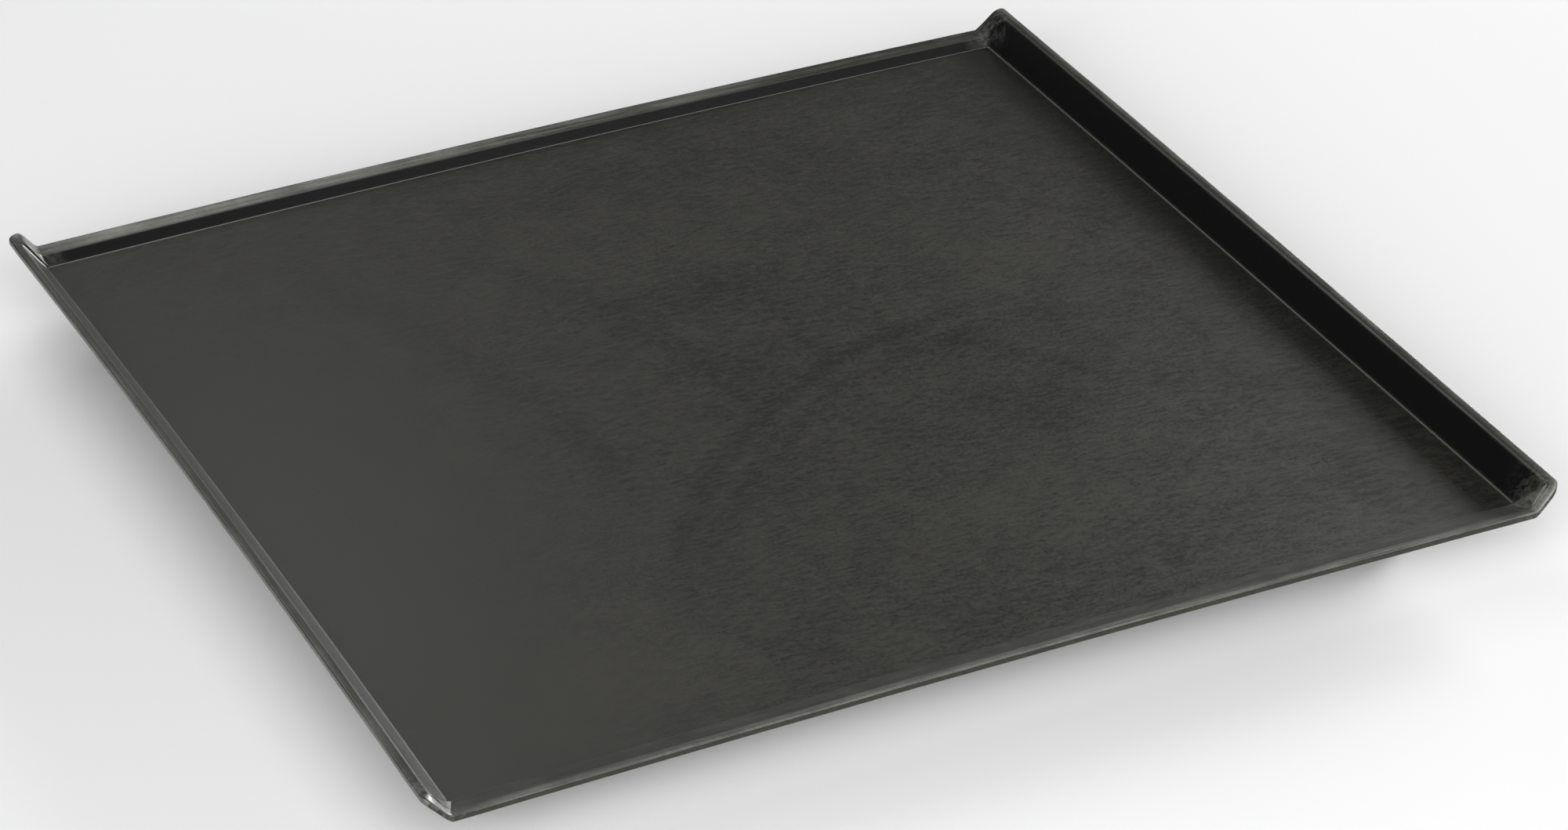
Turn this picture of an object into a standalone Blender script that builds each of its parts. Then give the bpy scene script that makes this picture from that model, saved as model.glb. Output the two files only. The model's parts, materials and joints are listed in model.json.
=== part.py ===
# Seedling heat mat of the rigid tray type: a flared moulded tray over a screwed-on, sealed heater base.
# Metres, +Z up. The origin is on the ground under the centre. The tall walls are at -X and +X, the low
# lips at -Y (front) and +Y (rear).
import math

import bmesh
import bpy
from mathutils import Vector

for old in list(bpy.data.objects):
    bpy.data.objects.remove(old, do_unlink=True)

# Driving dimensions
GAP = 0.0003                # clearance between neighbours that touch
FLOOR_SIDE = 0.480          # square floor, crease to crease
FLOOR_Z = 0.027             # top of the floor at its corners
TRAY_WALL = 0.0031
LOW_FLARE, LOW_RISE = 0.0134, 0.0047
TALL_FLARE, TALL_RISE = 0.0146, 0.0134
LOW_BEND = (0.0056, 0.0036)    # outward, up: where the steep part of the lip rolls over
TALL_BEND = (0.0102, 0.0123)
CORNER_RUN = 0.0042         # the low lip runs this far past the floor before it climbs to the tall wall
CREASE_TURN, BEND_TURN, TIP_TURN = 0.002, 0.0035, 0.005    # plan radii at the corners
CORNER_LEAD = 0.0015        # shortest stretch between the end of a side and its corner's turn
CROWN = 0.0019              # rise of each side's middle over its ends, so the floor sheds water
SIDE_BOW = 0.0011           # the tall walls' middles lean in by this much
SIDE_STEPS = 8
TURN_STEPS = 3

FOOT_HEIGHT = 0.004
PAN_WALL = 0.002
PAN_HALF = 0.2135           # outside of the pan's walls
PAN_TURN = 0.014
FLANGE = 0.010
GASKET_THICK = 0.0009
GASKET_INNER_HALF = 0.2125
GASKET_INSET = 0.001
SPREADER_THICK = 0.0008
SPREADER_HALF = 0.207
BOARD_HALF = 0.210
BOARD_TURN = 0.011

BOSS_RADIUS = 0.005
PILOT_RADIUS = 0.0023
PILOT_DEPTH = 0.0125
BOSS_PITCH = 0.195
FOOT_PITCH = 0.160

CABLE_RADIUS = 0.002
CABLE_PASSES = 12
CABLE_PITCH = 0.032
FRONT_TURN_Y = -0.160
REAR_TURN_Y = 0.120
TAIL_Y = 0.180
LEAD_RADIUS = 0.0011

BAY_LEFT, BAY_RIGHT, BAY_FRONT = 0.055, 0.182, 0.148    # wiring bay cut out of the board's rear edge

GLAND_X, GLAND_Z = 0.118, 0.0128
HEX_FLATS = 0.014
LOCKNUT_FLATS = 0.0125
SHANK_RADIUS = 0.0049
CORD_BORE = 0.0034
BLOCK_Y = 0.180
POLE_PITCH = 0.010
POLES = ("live", "earth", "neutral")

# Levels worked out from them
pan_inside = FOOT_HEIGHT + PAN_WALL
tray_under = FLOOR_Z - TRAY_WALL
spreader_top = tray_under - GAP
spreader_under = spreader_top - SPREADER_THICK
board_top = spreader_under - GAP
board_under = pan_inside + GAP
gasket_under = spreader_top - GASKET_THICK
flange_top = gasket_under - GAP
flange_under = flange_top - PAN_WALL
cable_z = board_top - CABLE_RADIUS
floor_half = FLOOR_SIDE / 2

parts = bpy.data.collections.new("seedling_heat_mat")
cutters = bpy.data.collections.new("cutters")
cutters.hide_render = True
bpy.context.scene.collection.children.link(parts)
bpy.context.scene.collection.children.link(cutters)


def material(name, colour, roughness, metallic=0.0):
    made = bpy.data.materials.new(name)
    made.use_nodes = True
    shader = made.node_tree.nodes["Principled BSDF"]
    shader.inputs["Base Color"].default_value = (*colour, 1.0)
    shader.inputs["Roughness"].default_value = roughness
    shader.inputs["Metallic"].default_value = metallic
    return made


def placed(name, data, surface=None, location=(0, 0, 0), rotation=(0, 0, 0)):
    """A named object in the parts, or in the cutters where it has no surface."""
    thing = bpy.data.objects.new(name, data)
    thing.location = location
    thing.rotation_euler = rotation
    if surface is None:
        cutters.objects.link(thing)
        thing.hide_render = True
        thing.display_type = "WIRE"
    else:
        parts.objects.link(thing)
        data.materials.append(surface)
    return thing


def mesh_of(name, shape, smooth_angle=None):
    bmesh.ops.recalc_face_normals(shape, faces=shape.faces)
    mesh = bpy.data.meshes.new(name)
    shape.to_mesh(mesh)
    shape.free()
    if smooth_angle is not None:
        mesh.shade_smooth()
        mesh.set_sharp_from_angle(angle=math.radians(smooth_angle))
    return mesh


def box(name, low, high, surface=None):
    shape = bmesh.new()
    bmesh.ops.create_cube(shape, size=1.0)
    for vertex in shape.verts:
        vertex.co = Vector(
            lo if side < 0 else hi for side, lo, hi in zip(vertex.co, low, high)
        )
    return placed(name, mesh_of(name, shape), surface)


def rod(name, radius, low, high, centre, along="Z", sides=24, surface=None):
    """A cylinder from low to high along one axis. centre gives its two other coordinates."""
    shape = bmesh.new()
    bmesh.ops.create_cone(
        shape, cap_ends=True, segments=sides, radius1=radius, radius2=radius, depth=high - low
    )
    middle = (low + high) / 2
    if along == "Z":
        location, rotation = (*centre, middle), (0, 0, 0)
    else:
        location, rotation = (centre[0], middle, centre[1]), (-math.pi / 2, 0, 0)
    return placed(name, mesh_of(name, shape, 40), surface, location, rotation)


def turned(name, profile, surface=None, location=(0, 0, 0), rotation=(0, 0, 0), steps=24):
    """A turned solid. The profile is (radius, height) points, down the outer side from the top."""
    mesh = bpy.data.meshes.new(name)
    points = [(radius, 0, height) for radius, height in profile]
    closed = profile[0][0] > 0
    edges = [(i, i + 1) for i in range(len(points) - 1)]
    if closed:
        edges.append((len(points) - 1, 0))
    mesh.from_pydata(points, edges, [])
    thing = placed(name, mesh, surface, location, rotation)
    screw = thing.modifiers.new("turn", "SCREW")
    screw.steps = screw.render_steps = steps
    screw.use_merge_vertices = True
    screw.merge_threshold = 0.00005
    return thing


def arc(centre, radius, start, end, steps):
    """Points of a plan arc, angles in degrees."""
    return [
        (
            centre[0] + radius * math.cos(math.radians(start + (end - start) * i / steps)),
            centre[1] + radius * math.sin(math.radians(start + (end - start) * i / steps)),
        )
        for i in range(steps + 1)
    ]


def rounded_square(half, turn, steps=4):
    centre = half - turn
    outline = []
    for quarter, (side_x, side_y) in enumerate(((1, 1), (-1, 1), (-1, -1), (1, -1))):
        start = 90 * quarter
        outline += arc((side_x * centre, side_y * centre), turn, start, start + 90, steps)
    return outline


def circle(centre, radius, steps=16):
    return arc(centre, radius, 0, 360 - 360 / steps, steps - 1)


def plate(name, outlines, low, high, surface=None):
    """A flat piece. Outlines after the first are its holes."""
    curve = bpy.data.curves.new(name, "CURVE")
    curve.dimensions = "2D"
    curve.fill_mode = "BOTH"
    curve.extrude = (high - low) / 2
    for outline in outlines:
        spline = curve.splines.new("POLY")
        spline.points.add(len(outline) - 1)
        for point, (x, y) in zip(spline.points, outline):
            point.co = (x, y, 0, 1)
        spline.use_cyclic_u = True
    return placed(name, curve, surface, (0, 0, (low + high) / 2))


def tube(name, points, radius, surface):
    curve = bpy.data.curves.new(name, "CURVE")
    curve.dimensions = "3D"
    curve.bevel_depth = radius
    curve.bevel_resolution = 2
    curve.use_fill_caps = True
    spline = curve.splines.new("POLY")
    spline.points.add(len(points) - 1)
    for point, place in zip(spline.points, points):
        point.co = (*place, 1)
    spline.use_smooth = True
    return placed(name, curve, surface)


def as_mesh(curve_object):
    """The curve object made a mesh with its caps welded, so that it can be cut or can cut."""
    name = curve_object.name
    surface = curve_object.data.materials[0] if curve_object.data.materials else None
    bpy.context.view_layer.update()
    graph = bpy.context.evaluated_depsgraph_get()
    mesh = bpy.data.meshes.new_from_object(curve_object.evaluated_get(graph))
    matrix = curve_object.matrix_world.copy()
    shape = bmesh.new()
    shape.from_mesh(mesh)
    bmesh.ops.remove_doubles(shape, verts=shape.verts, dist=0.000001)
    bpy.data.meshes.remove(mesh)
    bpy.data.objects.remove(curve_object)
    solid = mesh_of(name, shape)
    if surface is not None:
        solid.materials.clear()
    thing = placed(name, solid, surface)
    thing.matrix_world = matrix
    return thing


def boolean(thing, other, operation="DIFFERENCE"):
    modifier = thing.modifiers.new(other.name, "BOOLEAN")
    modifier.operation = operation
    modifier.solver = "EXACT"
    modifier.object = other


def bridge(shape, lower, upper):
    for i, vertex in enumerate(lower):
        after = (i + 1) % len(lower)
        shape.faces.new((vertex, lower[after], upper[after], upper[i]))


def loft(name, rings, surface):
    """Rings of equal point count joined in order, with the first and last ones capped."""
    shape = bmesh.new()
    loops = [[shape.verts.new(point) for point in ring] for ring in rings]
    for lower, upper in zip(loops, loops[1:]):
        bridge(shape, lower, upper)
    shape.faces.new(loops[0])
    shape.faces.new(loops[-1])
    return placed(name, mesh_of(name, shape, 25), surface)


def smooth_route(points, step=0.006):
    """Points about one step apart on a smooth curve through the given ones."""
    given = [Vector(point) for point in points]
    ends = [2 * given[0] - given[1], *given, 2 * given[-1] - given[-2]]
    route = []
    for before, start, end, after in zip(ends, ends[1:], ends[2:], ends[3:]):
        count = max(2, round((end - start).length / step))
        for i in range(count):
            t = i / count
            route.append(
                0.5 * (
                    2 * start
                    + (end - before) * t
                    + (2 * before - 5 * start + 4 * end - after) * t * t
                    + (3 * start - before - 3 * end + after) * t ** 3
                )
            )
    return [*route, given[-1]]


# Surfaces
fibre_compound = material("fibre_compound", (0.012, 0.012, 0.011), 0.38)
sheet_aluminium = material("sheet_aluminium", (0.78, 0.78, 0.79), 0.30, 1.0)
silicone_red = material("silicone_red", (0.42, 0.06, 0.04), 0.55)
foam_board = material("foam_board", (0.32, 0.46, 0.56), 0.85)
pan_plastic = material("pan_plastic", (0.020, 0.020, 0.021), 0.50)
black_rubber = material("black_rubber", (0.016, 0.016, 0.016), 0.75)
zinc_steel = material("zinc_steel", (0.62, 0.62, 0.60), 0.30, 1.0)
gland_plastic = material("gland_plastic", (0.045, 0.045, 0.048), 0.42)
block_nylon = material("block_nylon", (0.72, 0.70, 0.64), 0.45)
brass = material("brass", (0.72, 0.52, 0.22), 0.28, 1.0)
cutout_case = material("cutout_case", (0.06, 0.055, 0.05), 0.40)
pad_foam = material("pad_foam", (0.12, 0.12, 0.12), 0.90)
live_brown = material("live_brown", (0.16, 0.07, 0.03), 0.45)
neutral_blue = material("neutral_blue", (0.04, 0.12, 0.38), 0.45)
earth_green = material("earth_green", (0.10, 0.30, 0.06), 0.45)
tinned_copper = material("tinned_copper", (0.66, 0.64, 0.60), 0.35, 1.0)


# Where the bosses and the feet stand
boss_places = [
    (BOSS_PITCH * i, BOSS_PITCH * j) for j in (-1, 0, 1) for i in (-1, 0, 1) if (i, j) != (0, 0)
]
foot_places = {
    "front_left": (-FOOT_PITCH, -FOOT_PITCH),
    "front_right": (FOOT_PITCH, -FOOT_PITCH),
    "rear_left": (-FOOT_PITCH, FOOT_PITCH),
    "rear_right": (FOOT_PITCH, FOOT_PITCH),
}


# Tray: rings of plan points round the floor, lofted from the underside, over the rim, to the crown
def crowned(x, y, z, share):
    """The point moved by the moulding's crown and by the tall walls' lean, share 0 to 1 for the crown."""
    along_x = max(0.0, 1 - (x / floor_half) ** 2)
    along_y = max(0.0, 1 - (y / floor_half) ** 2)
    return (x - math.copysign(SIDE_BOW * along_y, x), y, z + share * CROWN * (along_x + along_y))


def tray_ring(low, tall, turn, run, share=1.0):
    """One ring. low and tall are (outward, up) from the floor's corner for the two kinds of wall."""
    edge_x = floor_half + tall[0]
    edge_y = floor_half + low[0]
    start = min(floor_half + run, edge_x - turn - CORNER_LEAD)
    corner = [(start, edge_y), *arc((edge_x - turn, edge_y - turn), turn, 90, 0, TURN_STEPS)]
    climbed = [
        (x, y, FLOOR_Z + low[1] + (tall[1] - low[1]) * (x - start) / (edge_x - start))
        for x, y in corner
    ]
    ring = []
    for side_x, side_y in ((1, 1), (-1, 1), (-1, -1), (1, -1)):
        points = [(side_x * x, side_y * y, z) for x, y, z in climbed]
        if side_x == side_y:
            points.reverse()
        ring += points
        last = Vector(points[-1])
        if side_x == side_y:
            following = Vector((-last.x, last.y, last.z))
        else:
            following = Vector((last.x, -last.y, last.z))
        ring += [tuple(last.lerp(following, i / SIDE_STEPS)) for i in range(1, SIDE_STEPS)]
    return [crowned(*point, share) for point in ring]


def under(bend, end, thickness):
    """The underside's crease and bend (outward, up), a thickness away from the wall's two slopes."""
    steep = math.atan2(bend[1], bend[0])
    shallow = math.atan2(end[1] - bend[1], end[0] - bend[0])
    middle = (steep + shallow) / 2
    reach = thickness / math.cos((steep - shallow) / 2)
    crease = (thickness * math.tan(steep / 2), -thickness)
    return crease, (bend[0] + reach * math.sin(middle), bend[1] - reach * math.cos(middle))


def floor_ring(scale):
    return [
        crowned(x * scale, y * scale, FLOOR_Z, 1.0)
        for x, y, _ in tray_ring((0, 0), (0, 0), CREASE_TURN, 0)
    ]


low_end = (LOW_FLARE, LOW_RISE)
tall_end = (TALL_FLARE, TALL_RISE)
low_crease, low_roll = under(LOW_BEND, low_end, TRAY_WALL)
tall_crease, tall_roll = under(TALL_BEND, tall_end, TRAY_WALL)
bend_run = CORNER_RUN * LOW_BEND[0] / LOW_FLARE
low_edge = (LOW_FLARE, LOW_RISE - TRAY_WALL)
tall_edge = (TALL_FLARE, TALL_RISE - TRAY_WALL)
flat_bed_scale = 0.12
bed_rings = [floor_ring(scale) for scale in (0.80, 0.55, 0.30)]
bed_level = FLOOR_Z + 2 * CROWN * (1 - flat_bed_scale ** 2)
bed_middle = [(x, y, bed_level) for x, y, _ in floor_ring(flat_bed_scale)]
upper_tray = loft(
    "upper_tray",
    [
        tray_ring(low_crease, tall_crease, BEND_TURN, 0, 0.0),
        tray_ring(low_roll, tall_roll, BEND_TURN, bend_run),
        tray_ring(low_edge, tall_edge, TIP_TURN, CORNER_RUN),
        tray_ring(low_end, tall_end, TIP_TURN, CORNER_RUN),
        tray_ring(LOW_BEND, TALL_BEND, BEND_TURN, bend_run),
        tray_ring((0, 0), (0, 0), CREASE_TURN, 0),
        *bed_rings,
        bed_middle,
    ],
    fibre_compound,
)
for number, place in enumerate(boss_places, 1):
    boss = rod(f"boss_{number}", BOSS_RADIUS, board_under, FLOOR_Z - TRAY_WALL / 2, place, sides=20)
    boolean(upper_tray, boss, "UNION")
    pilot = rod(f"pilot_{number}", PILOT_RADIUS, FOOT_HEIGHT, board_under + PILOT_DEPTH, place, sides=12)
    boolean(upper_tray, pilot)


# Heat spreader and gasket
BOSS_HOLE = BOSS_RADIUS + 0.0006
boss_holes = [circle(place, BOSS_HOLE) for place in boss_places]
plate(
    "heat_spreader",
    [rounded_square(SPREADER_HALF, BOARD_TURN), *boss_holes],
    spreader_under,
    spreader_top,
    sheet_aluminium,
)
plate(
    "perimeter_gasket",
    [
        rounded_square(PAN_HALF + FLANGE - GASKET_INSET, PAN_TURN + FLANGE),
        rounded_square(GASKET_INNER_HALF, PAN_TURN),
    ],
    gasket_under,
    spreader_top,
    black_rubber,
)


# Heating cable: from the wiring bay along the rear edge, then front and back in equal passes
TAIL_REACH, TAIL_BEND = 0.014, 0.008    # how far each tail reaches into the bay, and where it is level
TAIL_DIP = 0.0035                       # the tails bend down to the splices, which are thicker


def cable_plan():
    turn = CABLE_PITCH / 2
    first_x = -CABLE_PITCH * (CABLE_PASSES - 1) / 2
    plan = [(BAY_LEFT + TAIL_REACH, TAIL_Y), (BAY_LEFT + TAIL_BEND, TAIL_Y), (BAY_LEFT, TAIL_Y)]
    plan += arc((first_x + turn, TAIL_Y - turn), turn, 90, 180, 4)
    for number in range(CABLE_PASSES - 1):
        x = first_x + CABLE_PITCH * number + turn
        if number % 2 == 0:
            plan += arc((x, FRONT_TURN_Y), turn, 180, 360, 8)
        else:
            plan += arc((x, REAR_TURN_Y), turn, 180, 0, 8)
    last_x = first_x + CABLE_PITCH * (CABLE_PASSES - 1)
    plan += [(last_x, BAY_FRONT), (last_x, BAY_FRONT + TAIL_BEND), (last_x, BAY_FRONT + TAIL_REACH)]
    return plan


cable_route = cable_plan()
cable_levels = [TAIL_DIP, TAIL_DIP, *[0] * (len(cable_route) - 4), TAIL_DIP, TAIL_DIP]
tube(
    "heating_cable",
    [(x, y, cable_z - dip) for (x, y), dip in zip(cable_route, cable_levels)],
    CABLE_RADIUS,
    silicone_red,
)


def side_line(points, reach):
    """The plan line a reach to the left of the route."""
    line = []
    for i, point in enumerate(points):
        before = Vector(points[max(i - 1, 0)])
        after = Vector(points[min(i + 1, len(points) - 1)])
        along = (after - before).normalized()
        line.append((point[0] - along.y * reach, point[1] + along.x * reach))
    return line


# Insulation board: cut round the bosses and feet, open at the wiring bay, grooved for the cable
board_outline = rounded_square(BOARD_HALF, BOARD_TURN)
bay_edge = [(BAY_RIGHT, BOARD_HALF), (BAY_RIGHT, BAY_FRONT), (BAY_LEFT, BAY_FRONT), (BAY_LEFT, BOARD_HALF)]
first_corner = 5
board_outline[first_corner:first_corner] = bay_edge
FOOT_HOLE = 0.006
foot_holes = [
    circle(place, FOOT_HOLE) for corner, place in foot_places.items() if corner != "rear_right"
]
insulation_board = as_mesh(
    plate(
        "insulation_board",
        [board_outline, *boss_holes, *foot_holes],
        board_under,
        board_top,
        foam_board,
    )
)
groove_reach = CABLE_RADIUS + GAP
groove_line = cable_route[1:-1]    # it runs out into the bay at both ends
groove_outline = [*side_line(groove_line, groove_reach), *reversed(side_line(groove_line, -groove_reach))]
groove = as_mesh(
    plate("cable_groove", [groove_outline], cable_z - groove_reach, spreader_under + GAP)
)
boolean(insulation_board, groove)


# Base pan: an open plastic pan with a flange, drilled for the screws, the feet and the gland
def pan_ring(half, turn, level):
    return [(x, y, level) for x, y in rounded_square(half, turn)]


base_pan = loft(
    "base_pan",
    [
        pan_ring(PAN_HALF, PAN_TURN, FOOT_HEIGHT),
        pan_ring(PAN_HALF, PAN_TURN, flange_under),
        pan_ring(PAN_HALF + FLANGE, PAN_TURN + FLANGE, flange_under),
        pan_ring(PAN_HALF + FLANGE, PAN_TURN + FLANGE, flange_top),
        pan_ring(PAN_HALF - PAN_WALL, PAN_TURN - PAN_WALL, flange_top),
        pan_ring(PAN_HALF - PAN_WALL, PAN_TURN - PAN_WALL, pan_inside),
    ],
    pan_plastic,
)
SCREW_RADIUS = 0.002
HEAD_RADIUS = 0.0038
HEAD_DEPTH = 0.0017
SCREW_LENGTH = 0.0125
SINK_CLEARANCE = 0.0004
head_low = FOOT_HEIGHT + 0.0002
for number, place in enumerate(boss_places, 1):
    sink = turned(
        f"sink_{number}",
        [
            (0, head_low + 0.004),
            (SCREW_RADIUS + SINK_CLEARANCE, head_low + 0.004),
            (SCREW_RADIUS + SINK_CLEARANCE, head_low + HEAD_DEPTH),
            (HEAD_RADIUS + SINK_CLEARANCE, head_low),
            (HEAD_RADIUS + SINK_CLEARANCE, head_low - 0.001),
            (0, head_low - 0.001),
        ],
        location=(*place, 0),
        steps=16,
    )
    boolean(base_pan, sink)
    screw = turned(
        f"base_screw_{number}",
        [
            (0, head_low + SCREW_LENGTH),
            (SCREW_RADIUS * 0.5, head_low + SCREW_LENGTH),
            (SCREW_RADIUS, head_low + SCREW_LENGTH - 0.001),
            (SCREW_RADIUS, head_low + HEAD_DEPTH),
            (HEAD_RADIUS, head_low),
            (0, head_low),
        ],
        zinc_steel,
        location=(*place, 0),
        steps=16,
    )
    socket = rod(f"socket_{number}", 0.0014, head_low - 0.001, head_low + 0.0012, place, sides=6)
    boolean(screw, socket)


# Feet: rubber pads with a barbed stud pushed through the pan
FOOT_RADIUS = 0.011
STUD_RADIUS = 0.0027
BARB_RADIUS = 0.0040
stud_hole = STUD_RADIUS + GAP
for corner, place in foot_places.items():
    boolean(base_pan, rod(f"stud_hole_{corner}", stud_hole, 0.003, 0.007, place, sides=20))
    turned(
        f"foot_{corner}",
        [
            (0, pan_inside + 0.003),
            (STUD_RADIUS * 0.8, pan_inside + 0.003),
            (BARB_RADIUS, pan_inside + GAP),
            (STUD_RADIUS, pan_inside + GAP),
            (STUD_RADIUS, FOOT_HEIGHT - GAP),
            (FOOT_RADIUS, FOOT_HEIGHT - GAP),
            (FOOT_RADIUS, 0.001),
            (FOOT_RADIUS - 0.001, 0),
            (0, 0),
        ],
        black_rubber,
        location=(*place, 0),
        steps=20,
    )


# Cord gland through the pan's rear wall. Turned pieces lie along +Y, their heights measured from y = 0
def along_y(name, profile, surface, steps=24):
    return turned(name, profile, surface, (GLAND_X, 0, GLAND_Z), (-math.pi / 2, 0, 0), steps)


rear_out = PAN_HALF
rear_in = PAN_HALF - PAN_WALL
washer_out = rear_out + GAP + 0.001
hex_in = washer_out + GAP
hex_out = hex_in + 0.005
spigot_end = hex_out + 0.0075
shank_end = rear_in - 0.007
SPIGOT_RADIUS = 0.0052
SHANK_HOLE = SHANK_RADIUS + GAP
seal_in = spigot_end + GAP
seal_out = seal_in + 0.003
nut_in = hex_out + GAP
nut_out = seal_out + 0.0023
gland_centre = (GLAND_X, GLAND_Z)


def hexagon(name, flats, low, high, surface):
    """A hexagonal prism along Y with a flat on top."""
    corner = flats / 2 / math.cos(math.pi / 6)
    prism = rod(name, corner, low, high, gland_centre, "Y", 6, surface)
    prism.rotation_euler = (-math.pi / 2, math.pi / 6, 0)
    return prism


boolean(base_pan, rod("shank_hole", SHANK_HOLE, rear_in - 0.001, rear_out + 0.001, gland_centre, "Y"))
gland_body = hexagon("gland_body", HEX_FLATS, hex_in, hex_out, gland_plastic)
shank = rod("gland_shank", SHANK_RADIUS, shank_end, hex_in + 0.002, gland_centre, "Y")
spigot = rod("gland_spigot", SPIGOT_RADIUS, hex_out - 0.002, spigot_end, gland_centre, "Y")
cord_bore = rod("cord_bore", CORD_BORE, shank_end - 0.001, spigot_end + 0.001, gland_centre, "Y")
boolean(gland_body, shank, "UNION")
boolean(gland_body, spigot, "UNION")
boolean(gland_body, cord_bore)
along_y(
    "gland_washer",
    [
        (SHANK_HOLE, washer_out),
        (0.0075, washer_out),
        (0.0075, rear_out + GAP),
        (SHANK_HOLE, rear_out + GAP),
    ],
    black_rubber,
)
gland_locknut = hexagon("gland_locknut", LOCKNUT_FLATS, rear_in - GAP - 0.004, rear_in - GAP, gland_plastic)
boolean(gland_locknut, rod("locknut_bore", SHANK_HOLE, rear_in - 0.006, rear_in + 0.001, gland_centre, "Y"))
along_y(
    "gland_seal",
    [
        (0.0031, seal_out),
        (SPIGOT_RADIUS, seal_out),
        (SPIGOT_RADIUS, seal_in),
        (0.0031, seal_in),
    ],
    black_rubber,
)
NUT_RADIUS = 0.007
nut_bore = SPIGOT_RADIUS + GAP
along_y(
    "gland_dome_nut",
    [
        (0.0034, nut_out),
        (0.0046, nut_out),
        (0.0062, nut_out - 0.0012),
        (NUT_RADIUS, nut_out - 0.0036),
        (NUT_RADIUS, nut_in),
        (nut_bore, nut_in),
        (nut_bore, seal_out + GAP),
        (0.0034, seal_out + GAP),
    ],
    gland_plastic,
)


# Terminal block in the wiring bay, on a bonded pad, with a clamping tube and two screws to each pole
BLOCK_HALF_X, BLOCK_HALF_Y, BLOCK_HEIGHT = 0.016, 0.010, 0.012
PAD_THICK = 0.001
TERMINAL_RADIUS, TERMINAL_BORE, TERMINAL_HALF = 0.0030, 0.0017, 0.008
pad_under = pan_inside + GAP
block_under = pad_under + PAD_THICK + GAP
block_top = block_under + BLOCK_HEIGHT
box(
    "block_pad",
    (GLAND_X - BLOCK_HALF_X + 0.001, BLOCK_Y - BLOCK_HALF_Y + 0.001, pad_under),
    (GLAND_X + BLOCK_HALF_X - 0.001, BLOCK_Y + BLOCK_HALF_Y - 0.001, pad_under + PAD_THICK),
    pad_foam,
)
terminal_block = box(
    "terminal_block",
    (GLAND_X - BLOCK_HALF_X, BLOCK_Y - BLOCK_HALF_Y, block_under),
    (GLAND_X + BLOCK_HALF_X, BLOCK_Y + BLOCK_HALF_Y, block_top),
    block_nylon,
)
pole_x = {pole: GLAND_X + POLE_PITCH * i for i, pole in zip((-1, 0, 1), POLES)}
screw_tip = GLAND_Z + 0.0015
screw_shoulder = GLAND_Z + TERMINAL_RADIUS + 0.0006
screw_number = 0
for pole, x in pole_x.items():
    centre = (x, GLAND_Z)
    channel_half = BLOCK_HALF_Y + 0.001
    channel = rod(
        f"channel_{pole}",
        TERMINAL_RADIUS + GAP,
        BLOCK_Y - channel_half,
        BLOCK_Y + channel_half,
        centre,
        "Y",
        16,
    )
    boolean(terminal_block, channel)
    terminal = turned(
        f"terminal_tube_{pole}",
        [
            (TERMINAL_BORE, TERMINAL_HALF),
            (TERMINAL_RADIUS, TERMINAL_HALF),
            (TERMINAL_RADIUS, -TERMINAL_HALF),
            (TERMINAL_BORE, -TERMINAL_HALF),
        ],
        brass,
        (x, BLOCK_Y, GLAND_Z),
        (-math.pi / 2, 0, 0),
        16,
    )
    for y in (BLOCK_Y - 0.005, BLOCK_Y + 0.005):
        screw_number += 1
        shaft = rod(f"shaft_{screw_number}", 0.0024, GLAND_Z, block_top + 0.001, (x, y), sides=16)
        boolean(terminal_block, shaft)
        thread = rod(f"thread_{screw_number}", 0.0015, GLAND_Z, block_top, (x, y), sides=12)
        boolean(terminal, thread)
        screw = turned(
            f"terminal_screw_{screw_number}",
            [
                (0, screw_shoulder + 0.003),
                (0.0020, screw_shoulder + 0.003),
                (0.0020, screw_shoulder),
                (0.0012, screw_shoulder),
                (0.0012, screw_tip),
                (0, screw_tip),
            ],
            zinc_steel,
            location=(x, y, 0),
            steps=12,
        )
        slot_top = screw_shoulder + 0.0035
        slot = box(
            f"slot_{screw_number}",
            (x - 0.003, y - 0.0003, slot_top - 0.0012),
            (x + 0.003, y + 0.0003, slot_top),
        )
        boolean(screw, slot)


# Thermal cut-out under the spreader, with the foam block that presses it there
CUTOUT_LOW = (0.070, 0.158, board_top - 0.004)
CUTOUT_HIGH = (0.090, 0.166, board_top)
cutout_y = (CUTOUT_LOW[1] + CUTOUT_HIGH[1]) / 2
cutout_z = (CUTOUT_LOW[2] + CUTOUT_HIGH[2]) / 2
thermal_cutout = box("thermal_cutout", CUTOUT_LOW, CUTOUT_HIGH, cutout_case)
rounding = thermal_cutout.modifiers.new("rounding", "BEVEL")
rounding.width = 0.0006
rounding.segments = 2
box(
    "cutout_pad",
    (CUTOUT_LOW[0] + 0.001, CUTOUT_LOW[1] + 0.0005, pan_inside + GAP),
    (CUTOUT_HIGH[0] - 0.001, CUTOUT_HIGH[1] - 0.0005, CUTOUT_LOW[2] - GAP),
    pad_foam,
)


# Crimp splices between the cable's tails and the leads
SPLICE_RADIUS = 0.0030
SPLICE_LENGTH = 0.018
SOCKET_DEPTH = 0.005
splice_z = cable_z - TAIL_DIP
splice_profile = [
    (0, SPLICE_LENGTH - SOCKET_DEPTH),
    (LEAD_RADIUS + GAP, SPLICE_LENGTH - SOCKET_DEPTH),
    (LEAD_RADIUS + GAP, SPLICE_LENGTH),
    (SPLICE_RADIUS * 0.8, SPLICE_LENGTH),
    (SPLICE_RADIUS, SPLICE_LENGTH - 0.001),
    (SPLICE_RADIUS, 0.001),
    (SPLICE_RADIUS * 0.9, 0),
    (CABLE_RADIUS + GAP, 0),
    (CABLE_RADIUS + GAP, SOCKET_DEPTH),
    (0, SOCKET_DEPTH),
]
cable_end_x = BAY_LEFT + TAIL_REACH
cable_end_y = BAY_FRONT + TAIL_REACH
last_pass_x = CABLE_PITCH * (CABLE_PASSES - 1) / 2
live_start = cable_end_x + GAP - SOCKET_DEPTH
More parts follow.
